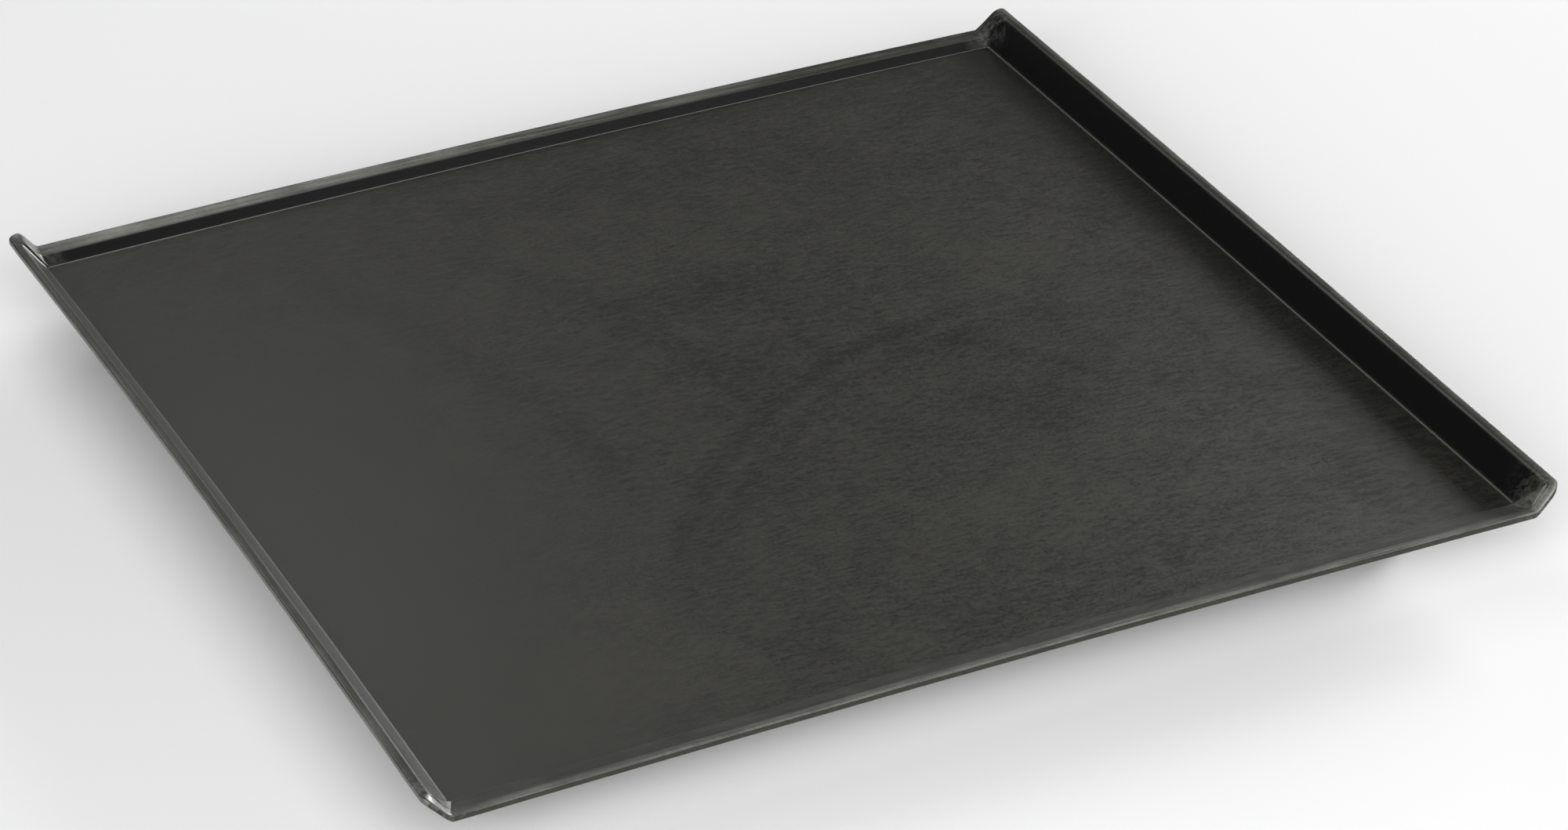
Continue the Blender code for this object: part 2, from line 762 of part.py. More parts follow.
neutral_start = cable_end_y + GAP - SOCKET_DEPTH
turned(
    "live_splice",
    splice_profile,
    tinned_copper,
    (live_start, TAIL_Y, splice_z),
    (0, math.pi / 2, 0),
    20,
)
turned(
    "neutral_splice",
    splice_profile,
    tinned_copper,
    (last_pass_x, neutral_start, splice_z),
    (-math.pi / 2, 0, 0),
    20,
)


# Inner leads
def pole_end(pole):
    """The last stretch of a lead, into the pole's clamping tube from the front."""
    x = pole_x[pole]
    return [(x, BLOCK_Y - 0.014, GLAND_Z), (x, BLOCK_Y - 0.008, GLAND_Z), (x, BLOCK_Y - 0.002, GLAND_Z)]


live_end_x = live_start + SPLICE_LENGTH - SOCKET_DEPTH + GAP
neutral_end_y = neutral_start + SPLICE_LENGTH - SOCKET_DEPTH + GAP
tube(
    "live_lead",
    smooth_route(
        [
            (CUTOUT_LOW[0] - GAP, cutout_y, cutout_z),
            (CUTOUT_LOW[0] - 0.004, cutout_y - 0.001, cutout_z - 0.001),
            (0.0655, 0.1565, 0.0155),
            (0.0700, 0.1530, 0.0120),
            (0.0850, 0.1525, 0.0105),
            (0.0990, 0.1550, 0.0108),
            *pole_end("live"),
        ]
    ),
    LEAD_RADIUS,
    live_brown,
)
tube(
    "cutout_lead",
    smooth_route(
        [
            (CUTOUT_HIGH[0] + GAP, cutout_y, cutout_z),
            (CUTOUT_HIGH[0] + 0.004, cutout_y + 0.001, cutout_z - 0.001),
            (0.0970, 0.1690, 0.0175),
            (0.0960, 0.1760, splice_z + 0.0005),
            (0.0900, TAIL_Y - 0.0003, splice_z),
            (live_end_x + 0.005, TAIL_Y, splice_z),
            (live_end_x, TAIL_Y, splice_z),
        ]
    ),
    LEAD_RADIUS,
    live_brown,
)
tube(
    "neutral_lead",
    smooth_route(
        [
            (last_pass_x, neutral_end_y, splice_z),
            (last_pass_x, neutral_end_y + 0.006, splice_z),
            (last_pass_x - 0.003, neutral_end_y + 0.012, splice_z - 0.001),
            (0.1640, 0.1900, 0.0140),
            (0.1500, 0.1850, 0.0120),
            (0.1410, 0.1730, 0.0115),
            (0.1340, 0.1645, 0.0115),
            *pole_end("neutral"),
        ]
    ),
    LEAD_RADIUS,
    neutral_blue,
)

# Earth tab: a foot under the spreader with a blade bent down, and its lead
TAB_THICK = 0.0008
TAB_X, TAB_Y = 0.146, 0.155
tab_top = board_top
tab_bottom = 0.0125
earth_tab = box(
    "earth_tab",
    (TAB_X, TAB_Y - 0.005, tab_top - TAB_THICK),
    (TAB_X + 0.012, TAB_Y + 0.005, tab_top),
    brass,
)
blade = box(
    "earth_blade",
    (TAB_X, TAB_Y - 0.00315, tab_bottom),
    (TAB_X + TAB_THICK, TAB_Y + 0.00315, tab_top - TAB_THICK / 2),
)
boolean(earth_tab, blade, "UNION")
tube(
    "earth_lead",
    smooth_route(
        [
            (TAB_X - GAP, TAB_Y, 0.0160),
            (TAB_X - 0.006, TAB_Y, 0.0160),
            (0.1300, 0.1540, 0.0150),
            (0.1220, 0.1560, 0.0130),
            *pole_end("earth"),
        ]
    ),
    LEAD_RADIUS,
    earth_green,
)
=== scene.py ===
# Seedling heat mat of the rigid tray type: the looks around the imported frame.
import json
import math

import bmesh
import bpy
from mathutils import Matrix, Vector, noise


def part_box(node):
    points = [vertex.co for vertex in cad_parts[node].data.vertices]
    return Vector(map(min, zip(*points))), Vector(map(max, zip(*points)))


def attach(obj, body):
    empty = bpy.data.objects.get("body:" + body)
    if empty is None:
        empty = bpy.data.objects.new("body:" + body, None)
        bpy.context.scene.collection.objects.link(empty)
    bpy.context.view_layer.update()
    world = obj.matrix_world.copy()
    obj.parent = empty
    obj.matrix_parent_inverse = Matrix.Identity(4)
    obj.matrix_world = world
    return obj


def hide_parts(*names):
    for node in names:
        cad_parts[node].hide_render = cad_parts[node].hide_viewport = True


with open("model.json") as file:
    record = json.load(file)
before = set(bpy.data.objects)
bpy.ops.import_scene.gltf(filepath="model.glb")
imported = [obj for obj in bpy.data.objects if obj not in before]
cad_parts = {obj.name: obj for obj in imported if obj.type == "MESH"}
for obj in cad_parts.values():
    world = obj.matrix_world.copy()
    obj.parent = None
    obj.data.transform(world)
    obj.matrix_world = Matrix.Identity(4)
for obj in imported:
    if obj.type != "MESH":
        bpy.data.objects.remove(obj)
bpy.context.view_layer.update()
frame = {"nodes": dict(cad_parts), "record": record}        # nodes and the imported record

millimetre = 0.001
print("frame loaded:", len(frame["nodes"]), "nodes")


# Helpers
def linearColour(hexCode):
    shown = [int(hexCode[i:i + 2], 16) / 255 for i in (1, 3, 5)]
    linear = [c / 12.92 if c <= 0.04045 else ((c + 0.055) / 1.055) ** 2.4 for c in shown]
    return (*linear, 1.0)


def addNode(tree, kind, settings=None, inputs=None):
    # an input is either a value or the socket it is linked from
    node = tree.nodes.new(kind)
    for name, value in (settings or {}).items():
        setattr(node, name, value)
    for socket, value in (inputs or {}).items():
        if isinstance(value, bpy.types.NodeSocket):
            tree.links.new(value, node.inputs[socket])
        else:
            node.inputs[socket].default_value = value
    return node


def newMaterial(name):
    made = bpy.data.materials.new(name)
    made.use_nodes = True
    made.node_tree.nodes.clear()
    return made


def perMetre(sizeMm):
    # pattern scale for a feature of that size, in object coordinates
    return 1 / (sizeMm * millimetre)


def newPiece(name, mesh, surface):
    mesh.materials.append(surface)
    thing = bpy.data.objects.new(name, mesh)
    bpy.context.scene.collection.objects.link(thing)
    return thing


# Camera: the view direction as azimuth and elevation, then a small roll
viewValues = {
    "azimuth": 24.66,        # degrees from +Y towards +X
    "elevation": 30.475,     # degrees downwards
    "roll": -1.378,
    "distance": 2.348,
    "target": (0.0011, -0.0342, 0.0270),
    "lens": 125.2,
    "sensor": 36.0,
    "clip": (0.05, 60.0),
}


def addCamera(values):
    azimuth = math.radians(values["azimuth"])
    elevation = math.radians(values["elevation"])
    roll = math.radians(values["roll"])
    forward = Vector((
        math.sin(azimuth) * math.cos(elevation),
        math.cos(azimuth) * math.cos(elevation),
        -math.sin(elevation),
    ))
    level = forward.cross(Vector((0, 0, 1))).normalized()
    right = math.cos(roll) * level + math.sin(roll) * level.cross(forward)
    data = bpy.data.cameras.new("camera")
    data.lens = values["lens"]
    data.sensor_width = values["sensor"]
    data.clip_start, data.clip_end = values["clip"]
    camera = bpy.data.objects.new("camera", data)
    bpy.context.scene.collection.objects.link(camera)
    turn = Matrix((right, right.cross(forward), -forward)).transposed()
    place = Vector(values["target"]) - forward * values["distance"]
    camera.matrix_world = Matrix.Translation(place) @ turn.to_4x4()
    bpy.context.scene.camera = camera


addCamera(viewValues)
bpy.context.scene.view_settings.view_transform = "Standard"
print("camera placed")


# Light: soft panels all round, set out by the direction they shine from
lightValues = {
    "world": 0.03,
    "worldColour": "#fbfbfb",
    # degrees, metres and watts; azimuth runs from +Y towards +X
    "panels": [
        {"name": "front_panel", "azimuth": -155, "elevation": 25, "distance": 3.0,
         "width": 4.0, "height": 2.2, "watts": 158},
        {"name": "rear_right_panel", "azimuth": 62, "elevation": 14, "distance": 3.0,
         "width": 1.4, "height": 0.8, "watts": 83},
        {"name": "front_top_panel", "azimuth": -150, "elevation": 60, "distance": 3.0,
         "width": 1.6, "height": 1.6, "watts": 10},
        {"name": "rear_top_panel", "azimuth": 30, "elevation": 62, "distance": 3.0,
         "width": 1.5, "height": 1.2, "watts": 4.7},
        {"name": "rear_strip", "azimuth": 22, "elevation": 17, "distance": 3.0,
         "width": 2.0, "height": 0.4, "watts": 1.5},
        {"name": "rim_panel", "azimuth": -2.9, "elevation": 45, "distance": 1.415,
         "width": 0.6, "height": 0.5, "watts": 2.1},
    ],
}


def addPanel(values):
    azimuth = math.radians(values["azimuth"])
    elevation = math.radians(values["elevation"])
    towards = Vector((
        math.sin(azimuth) * math.cos(elevation),
        math.cos(azimuth) * math.cos(elevation),
        math.sin(elevation),
    ))
    data = bpy.data.lights.new(values["name"], "AREA")
    data.shape = "RECTANGLE"
    data.size = values["width"]
    data.size_y = values["height"]
    data.energy = values["watts"]
    panel = bpy.data.objects.new(values["name"], data)
    bpy.context.scene.collection.objects.link(panel)
    panel.location = towards * values["distance"]
    panel.rotation_euler = towards.to_track_quat("Z", "Y").to_euler()
    panel.visible_camera = False


def addWorld(values):
    world = bpy.data.worlds.new("studio")
    world.use_nodes = True
    world.node_tree.nodes.clear()
    backdrop = addNode(world.node_tree, "ShaderNodeBackground", inputs={
        "Color": linearColour(values["worldColour"]),
        "Strength": values["world"],
    })
    addNode(world.node_tree, "ShaderNodeOutputWorld", inputs={"Surface": backdrop.outputs[0]})
    bpy.context.scene.world = world


for panelValues in lightValues["panels"]:
    addPanel(panelValues)
addWorld(lightValues)


# Floor: matt white studio card
floorValues = {"half": 9.0, "level": -0.0001, "colour": "#f4f4f4", "roughness": 0.9}


def studioCard(values):
    made = newMaterial("matt_studio_card")
    tree = made.node_tree
    shader = addNode(tree, "ShaderNodeBsdfPrincipled", inputs={
        "Base Color": linearColour(values["colour"]),
        "Roughness": values["roughness"],
    })
    addNode(tree, "ShaderNodeOutputMaterial", inputs={"Surface": shader.outputs[0]})
    return made


def addFloor(values):
    half = values["half"]
    mesh = bpy.data.meshes.new("studio_floor")
    corners = [(-half, -half), (half, -half), (half, half), (-half, half)]
    mesh.from_pydata([(x, y, values["level"]) for x, y in corners], [], [(0, 1, 2, 3)])
    newPiece("studio_floor", mesh, studioCard(values))


addFloor(floorValues)
print("light and floor placed")


# Moulded tray. A profile point is (outward, up, plan turn, run, crown share), in metres from the
# floor's edge. The plan turn is the corner's radius seen from above, and run is how far the low lip
# goes on past the floor before it climbs
trayValues = {
    "wall": 0.0031,
    "tallFlare": 0.0146,
    "tallRise": 0.0134,
    "crown": 0.0019,            # rise of each side's middle
    "lean": 0.0011,             # the tall walls' middles lean in by this much
    "cornerLead": 0.0015,       # the climb starts at least this far before the turn
    "creaseTurn": 0.0012,
    "bendTurn": 0.0018,
    "creaseRound": 0.0014,      # rounding of each profile corner
    "bendRound": 0.0030,
    "lipRound": 0.0009,
    "underRound": 0.0025,
    "mostRound": 0.45,          # the share of a side that its rounding may take
    "hold": 0.12,               # where the extra points of a flat stretch sit
    "roundSteps": 5,
    "sideSteps": 44,
    "climbSteps": 8,
    "turnSteps": 10,
    "sharpAngle": 40,           # degrees
    "inset": 0.004,             # how far inside the floor's edge the profile starts
    "wave": 0.00018,            # most that the rim wanders from true, always inwards
    "waveLength": 0.045,
    "waveOffset": (7.3, 2.1, 5.5),      # keeps the sag apart from the inward wander
    # along the profile: the flange's start, where its wear and painted highlight are full, its edge, the
    # side's foot
    "lipAcross": (0.0200, 0.0215, 0.0243, 0.0275),
    # wear and painted highlight at the flange's inner side, at its edge, and on the lip's side
    "wearAndSheen": {"rear": (1.10, 0.62, 0.40), "front": (0.45, 0.62, 0.00),
             "right": (0.00, 0.95, 0.60), "left": (0.18, 0.26, 0.30)},
    "frontFaceWear": 0.12,
    # round the two left corners the wear and painted highlight drop by this much, over this distance
    "leftEase": (0.6, 0.022),
    # X where the rear lip's wear and painted highlight start and end their fall, and the share that is
    # left
    "rearFade": (-0.20, 0.21, 0.08),
    # painted highlight greying the crease and the bend on each side
    "gleam": {"rear": (3.0, 0.8), "front": (0.8, 0.3), "right": (1.0, 0.15), "left": (1.0, 0.4)},
    "cornerReach": 0.004,       # how far corner scuffs spread along the sides
    "cornerGrow": 0.004,        # the corner's share is full this far out
    "bossPitch": 0.195,
    "bossHalf": 0.005,
    "bossSteps": 20,
    "pilotHalf": 0.0023,
    "bossFoot": 0.0063,
    "bossSunk": 0.0005,         # how far a boss runs up into the floor
    "pilotDepth": 0.0125,
    # counterclockwise from the rear right: each corner's own bends and edges as (outward, up).
    # early is how much of the turn is already full height, ease how softly the lip climbs to it
    "corners": [
        {"sides": (1, 1), "lowBend": (0.0060, 0.0028), "lowEdge": (0.0148, 0.0030),
         "tallBend": (0.0102, 0.0123), "tallEdge": (0.0146, 0.0134),
         "tipTurn": 0.005, "run": 0.0005, "early": 0.0, "ease": 0.2},
        {"sides": (-1, 1), "lowBend": (0.0060, 0.0036), "lowEdge": (0.0148, 0.0044),
         "tallBend": (0.0094, 0.0123), "tallEdge": (0.0133, 0.0134),
         "tipTurn": 0.005, "run": -0.001, "early": 1.0, "ease": 0.6},
        {"sides": (-1, -1), "lowBend": (0.0091, 0.0021), "lowEdge": (0.0134, 0.0027),
         "tallBend": (0.0102, 0.0123), "tallEdge": (0.0146, 0.0134),
         "tipTurn": 0.0045, "run": 0.0030, "early": 0.0, "ease": 0.4},
        {"sides": (1, -1), "lowBend": (0.0091, 0.0018), "lowEdge": (0.0134, 0.0023),
         "tallBend": (0.0102, 0.0123), "tallEdge": (0.0146, 0.0134),
         "tipTurn": 0.0045, "run": 0.0030, "early": 0.0, "ease": 0.3},
    ],
}
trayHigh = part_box("upper_tray")[1]
floorHalf = trayHigh.x - trayValues["tallFlare"]
floorLevel = trayHigh.z - trayValues["tallRise"] - trayValues["crown"]


def underCorners(bend, edge, wall):
    # the underside's crease and bend, a wall's thickness away from both slopes
    steep = math.atan2(bend[1], bend[0])
    shallow = math.atan2(edge[1] - bend[1], edge[0] - bend[0])
    middle = (steep + shallow) / 2
    reach = wall / math.cos((steep - shallow) / 2)
    crease = (wall * math.tan(steep / 2), -wall)
    return crease, (bend[0] + reach * math.sin(middle), bend[1] - reach * math.cos(middle))


def wallProfile(bend, edge, corner, values):
    crease, roll = underCorners(bend, edge, values["wall"])
    run = corner["run"]
    tipTurn = corner["tipTurn"]
    bendRun = run * corner["lowBend"][0] / corner["lowEdge"][0]
    inset = values["inset"]
    points = [
        ((-inset, 0, values["creaseTurn"], 0, 1), 0),
        ((0, 0, values["creaseTurn"], 0, 1), values["creaseRound"]),
        ((*bend, values["bendTurn"], bendRun, 1), values["bendRound"]),
        ((*edge, tipTurn, run, 1), values["lipRound"]),
        ((edge[0], edge[1] - values["wall"], tipTurn, run, 1), values["lipRound"]),
        ((*roll, values["bendTurn"] * 2, bendRun, 1), values["underRound"]),
        ((*crease, values["bendTurn"] * 2, 0, 0), values["underRound"]),
        ((-inset, -values["wall"], values["creaseTurn"] * 2, 0, 0), 0),
    ]
    return roundedProfile(points, values)


def roundedProfile(corners, values):
    # each corner gives way to a curve tangent to its two sides; every side keeps two points
    # beside its ends, so that flat stretches stay flat when shaded smooth
    steps = values["roundSteps"]
    most = values["mostRound"]
    hold = values["hold"]
    curves = []
    for i, (point, radius) in enumerate(corners):
        here = Vector(point)
        if radius == 0:
            curves.append([here])
            continue
        before = Vector(corners[i - 1][0]) - here
        after = Vector(corners[i + 1][0]) - here
        inward = Vector(before[:2]).normalized()
        outward = Vector(after[:2]).normalized()
        turning = math.pi - inward.angle(outward)
        reach = radius * math.tan(turning / 2)
        start = here + before * min(most, reach / Vector(before[:2]).length)
        end = here + after * min(most, reach / Vector(after[:2]).length)
        curve = []
        for j in range(steps + 1):
            t = j / steps
            curve.append((1 - t) ** 2 * start + 2 * t * (1 - t) * here + t * t * end)
        curves.append(curve)
    profile = list(curves[0])
    for curve in curves[1:]:
        last = profile[-1]
        profile.append(last.lerp(curve[0], hold))
        profile.append(last.lerp(curve[0], 1 - hold))
        profile += curve
    return profile


def gleamShares(values):
    # how far each profile point is on the crease and on the bend of the upper side
    steps = values["roundSteps"]
    shares = [(0.0, 0.0)]
    for crease, bend in ((1, 0), (0, 1), (0, 0), (0, 0), (0, 0), (0, 0)):
        shares += [(0.0, 0.0)] * 2
        for j in range(steps + 1):
            arch = 4 * j * (steps - j) / steps ** 2
            shares.append((crease * arch, bend * arch))
    return shares + [(0.0, 0.0)] * 3


def sideOf(point):
    if point.y > abs(point.x):
        return "rear"
    if -point.y > abs(point.x):
        return "front"
    return "right" if point.x > 0 else "left"


def settled(point, share, wave, values):
    # the point moved by the crown, by the tall walls' lean and by the rim's slight wander
    x, y, z = point
    alongX = max(0.0, 1 - (x / floorHalf) ** 2)
    alongY = max(0.0, 1 - (y / floorHalf) ** 2)
    spot = Vector((x, y, 0)) / values["waveLength"]
    inwards = wave * values["wave"] * (0.5 + 0.5 * noise.noise(spot))
    apart = spot + Vector(values["waveOffset"])
    sag = wave * values["wave"] * (0.5 + 0.5 * noise.noise(apart))
    return (
        x - math.copysign(values["lean"] * alongY + inwards, x),
        y - math.copysign(inwards, y),
        z + share * values["crown"] * (alongX + alongY) - sag,
    )


def cornerPoints(low, tall, corner, values):
    # from where the low lip starts to climb, round the turn, to the tall wall
    turn, run = low[2], low[3]
    edgeX = floorHalf + tall[0]
    edgeY = trayHigh.y - corner["lowEdge"][0] + low[0]
    start = min(floorHalf + run, edgeX - turn - values["cornerLead"])
    plan = []
    for i in range(values["climbSteps"]):
        plan.append((start + (edgeX - turn - start) * i / values["climbSteps"], edgeY))
    for i in range(values["turnSteps"] + 1):
        angle = math.pi / 2 * (1 - i / values["turnSteps"])
        plan.append((
            edgeX - turn + turn * math.cos(angle),
            edgeY - turn + turn * math.sin(angle),
        ))
    top = edgeX - turn * corner["early"]
    sideX, sideY = corner["sides"]
    points = []
    for x, y in plan:
        part = min(1.0, (x - start) / (top - start))
        part += corner["ease"] * (part * part * (3 - 2 * part) - part)
        z = floorLevel + low[1] + (tall[1] - low[1]) * part
        points.append(Vector((sideX * x, sideY * y, z)))
    if sideX == sideY:
        points.reverse()
    return points


def trayRing(lows, talls, values):
    turns = [
        cornerPoints(low, tall, corner, values)
        for low, tall, corner in zip(lows, talls, values["corners"])
    ]
    ring = []
    for points, following in zip(turns, turns[1:] + turns[:1]):
        ring += points
        for i in range(1, values["sideSteps"]):
            ring.append(points[-1].lerp(following[0], i / values["sideSteps"]))
    share = lows[0][4]
    wave = max(0.0, min(1.0, lows[0][0] / values["corners"][0]["lowEdge"][0]))
    return [settled(point, share, wave, values) for point in ring]


def fillSquare(shape, ring, level, share, values):
    # faces across a ring, as a grid whose corners are at the middles of the ring's turns and
    # whose lines follow the spacing of the ring's points
    turnSteps, climbSteps, sideSteps = values["turnSteps"], values["climbSteps"], values["sideSteps"]
    columns = sideSteps + 2 * climbSteps + turnSteps
    rows = sideSteps + turnSteps
    count = len(ring)
    edge = [ring[(turnSteps // 2 + k) % count] for k in range(count)]
    grid = [[None] * (columns + 1) for j in range(rows + 1)]
    for i in range(columns + 1):
        grid[0][i] = edge[i]
        grid[rows][i] = edge[2 * columns + rows - i]
    for j in range(1, rows):
        grid[j][columns] = edge[columns + j]
        grid[j][0] = edge[(2 * columns + 2 * rows - j) % count]
        y = grid[j][0].co.y
        alongY = 1 - (y / floorHalf) ** 2
        for i in range(1, columns):
            x = grid[0][i].co.x * (1 - values["lean"] * alongY / floorHalf)
            alongX = 1 - (x / floorHalf) ** 2
            z = level + share * values["crown"] * (alongX + alongY)
            grid[j][i] = shape.verts.new((x, y, z))
    for j in range(rows):
        for i in range(columns):
            shape.faces.new((grid[j][i], grid[j][i + 1], grid[j + 1][i + 1], grid[j + 1][i]))


def addBoss(shape, place, values):
    # a hollow boss under the floor, which takes a base screw
    steps = values["bossSteps"]
    outline = [
        (values["bossHalf"], floorLevel - values["wall"] + values["bossSunk"]),
        (values["bossHalf"], values["bossFoot"]),
        (values["pilotHalf"], values["bossFoot"]),
        (values["pilotHalf"], values["bossFoot"] + values["pilotDepth"]),
    ]
    loops = []
    for radius, z in outline:
        loops.append([
            shape.verts.new((
                place[0] + radius * math.cos(2 * math.pi * k / steps),
                place[1] + radius * math.sin(2 * math.pi * k / steps),
                z,
            ))
            for k in range(steps)
        ])
    for lower, upper in zip(loops, loops[1:]):
        joinRings(shape, lower, upper)
    shape.faces.new(loops[0])
    shape.faces.new(loops[-1])


def joinRings(shape, first, second):
    for k, vertex in enumerate(first):
        after = (k + 1) % len(first)
        shape.faces.new((vertex, first[after], second[after], second[k]))


def cornerShare(place, profilePoint, values):
    # 1 on the mitred corners above the floor, falling to 0 along the sides
    if profilePoint[0] <= 0:
        return 0.0
    across = max(0.0, floorHalf - abs(place.x)) / values["cornerReach"]
    along = max(0.0, floorHalf - abs(place.y)) / values["cornerReach"]
    grown = min(1.0, profilePoint[0] / values["cornerGrow"])
    return math.exp(-(across ** 2 + along ** 2)) * grown


def wearAndSheenShare(point, reached, values):
    # how grey a point of the lip is, as wear and painted highlight, from how far along the profile it lies
    # and on which side
    start, full, edge, foot = values["lipAcross"]
    side = sideOf(point)
    if values["inset"] < reached < start and side == "front":
        return values["frontFaceWear"]
    if reached < start or reached > foot:
        return 0.0
    inner, outer, below = values["wearAndSheen"][side]
    along = min(1.0, (reached - start) / (edge - start))
    share = inner + (outer - inner) * along * along
    if reached > edge:
        share = below
    if side == "rear":
        left, right, least = values["rearFade"]
        fade = min(1.0, max(0.0, (point.x - left) / (right - left)))
        share *= 1 - (1 - least) * fade
    drop, distance = values["leftEase"]
    nearLeft = math.hypot(abs(point.y) - floorHalf, point.x + floorHalf) / distance
    share *= 1 - drop * math.exp(-nearLeft ** 2)
    return share * min(1.0, (reached - start) / (full - start))


def makeTray(values, surface):
    lowProfiles = []
    tallProfiles = []
    for corner in values["corners"]:
        lowProfiles.append(wallProfile(corner["lowBend"], corner["lowEdge"], corner, values))
        tallProfiles.append(wallProfile(corner["tallBend"], corner["tallEdge"], corner, values))
    shape = bmesh.new()
    wearAndSheenLayer = shape.verts.layers.float.new("rim")
    cornerLayer = shape.verts.layers.float.new("corner")
    acrossLayer = shape.verts.layers.float.new("across")
    gleamLayer = shape.verts.layers.float.new("gleam")
    rings = []
    reached = 0.0
    before = tallProfiles[0][0]
    for lows, talls, gleam in zip(zip(*lowProfiles), zip(*tallProfiles), gleamShares(values)):
        reached += (Vector(talls[0][:2]) - Vector(before[:2])).length
        before = talls[0]
        ring = []
        for point in trayRing(lows, talls, values):
            vertex = shape.verts.new(point)
            vertex[wearAndSheenLayer] = wearAndSheenShare(vertex.co, reached, values)
            vertex[cornerLayer] = cornerShare(vertex.co, talls[0], values)
            vertex[acrossLayer] = reached
            crease, bend = values["gleam"][sideOf(vertex.co)]
            vertex[gleamLayer] = gleam[0] * crease + gleam[1] * bend
            ring.append(vertex)
        rings.append(ring)
    for inner, outer in zip(rings, rings[1:]):
        joinRings(shape, inner, outer)
    fillSquare(shape, rings[0], floorLevel, 1, values)
    fillSquare(shape, rings[-1], floorLevel - values["wall"], 0, values)
    for i in (-1, 0, 1):
        for j in (-1, 0, 1):
            if (i, j) != (0, 0):
                addBoss(shape, (i * values["bossPitch"], j * values["bossPitch"]), values)
    bmesh.ops.recalc_face_normals(shape, faces=shape.faces)
    mesh = bpy.data.meshes.new("moulded_tray")
    shape.to_mesh(mesh)
    shape.free()
    mesh.shade_smooth()
    mesh.set_sharp_from_angle(angle=math.radians(values["sharpAngle"]))
    tray = newPiece("moulded_tray", mesh, surface)
    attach(tray, "root")
    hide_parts("upper_tray")
    return tray


# Glass-fibre polyester, hot-press moulded: black right through, with a satin skin. The charge's flow
# left soft dark streaks and a curved knit line, and fibres print through as a fine slanting mottle.
# The lips are greyed by wear and painted highlight, the corners by wear, the creases by painted highlight;
# the steep inner faces carry painted shade, and the floor beside the rear and right walls a painted
# reflection of those walls. All of these are set for one viewing angle
trayFinish = {
    "dark": "#0b0b07",
    "light": "#25241a",
    # painted shade: the colour the steep inner faces are darkened to, full at the rear and right walls
    "shadow": "#040404",
    # the grey of the lips' wear and painted highlight, and of the creases' painted highlight
    "scuffAndSheen": "#7d7d79",
    "chalk": "#a3a4a2",
    "ior": 1.52,
    "roughness": (0.38, 0.51),          # glossier in the dark streaks, hazier between them
    "faceRoughness": 0.33,
    "rimRoughness": 0.36,
    "cornerRoughness": (0.34, 0.40),
    "cornerWear": 0.13,
    # strength of the painted highlight along the creases and bends
    "creaseHighlight": 0.20,
    "streakWear": 3.2,                  # how strongly drag lines break up the lips' grey
    "wallMm": (4.2, 5.6, 18.5, 20.5),   # start and end of the steep face, along the profile
    "lipMm": (8.0, 16.0),               # where the lips' own roughness takes over
    # where the steep faces' painted shade stops at the front lip and eases off at the left wall
    "frontMm": (-243.0, -238.0),        # the front lip's face, in Y, stays as the floor
    "leftMm": (-240.0, -232.0),         # the left wall's face, in X, is darkened less
    "leftShade": 0.72,
    "wanderMm": 70.0,                   # how coarsely the flow marks wander
    "wander": 0.012,                    # and how far, in metres
    "patchMm": 26.0,
    "patchTone": 0.16,
    "fibreMm": (2.2, 7.5, 5.0),         # width, length and depth of the fibre print
    "fibreAngle": 38.0,
    "fibreTone": 0.34,                  # the fibre print's swing either way, between dark and light
    "lineMm": (0.7, 60.0),              # spacing and length of the drag lines along the walls
    "lineTone": (-0.08, 0.10),
    "grainMm": 1.5,                     # coarse enough to show from the camera
    "grainTone": (0.14, 0.90),
    "rubbed": (0.62, 1.12),             # the lips' grey varies by this much, in patches
    "speckle": (0.82, 1.05),            # and by this much, grain by grain
    "nickMm": 3.2,                      # size of the corner scuffs
    "fibreRelief": 1.5,
    "bumpMm": 0.03,
}
# flow marks on the floor, in mm: arcs through three points, with a width and a tone
flowArcs = [
    {"through": ((-158, 196), (-98, 44), (-87, -87)), "width": 17, "tone": -0.18},
    {"through": ((-106, 40), (-99, -10), (-97, -60)), "width": 5, "tone": 0.05},
    {"through": ((-74, 163), (-27, 71), (-14, -22)), "width": 17, "tone": -0.16},
    {"through": ((-218, 131), (-200, 0), (-172, -142)), "width": 19, "tone": -0.14},
    {"through": ((-144, 114), (-139, 65), (-144, 11)), "width": 14, "tone": -0.09},
    {"through": ((-104, -161), (-30, -52), (142, 10)), "width": 11, "tone": -0.25},
    {"through": ((-97, -160), (-24, -57), (142, 3)), "width": 5, "tone": 0.08},
    {"through": ((-90, -150), (-16, -62), (142, -6)), "width": 9, "tone": -0.14},
    {"through": ((-104, -161), (-84, -198), (-44, -232)), "width": 9, "tone": -0.18},
    {"through": ((87, -207), (130, -214), (174, -218)), "width": 8, "tone": -0.08},
]
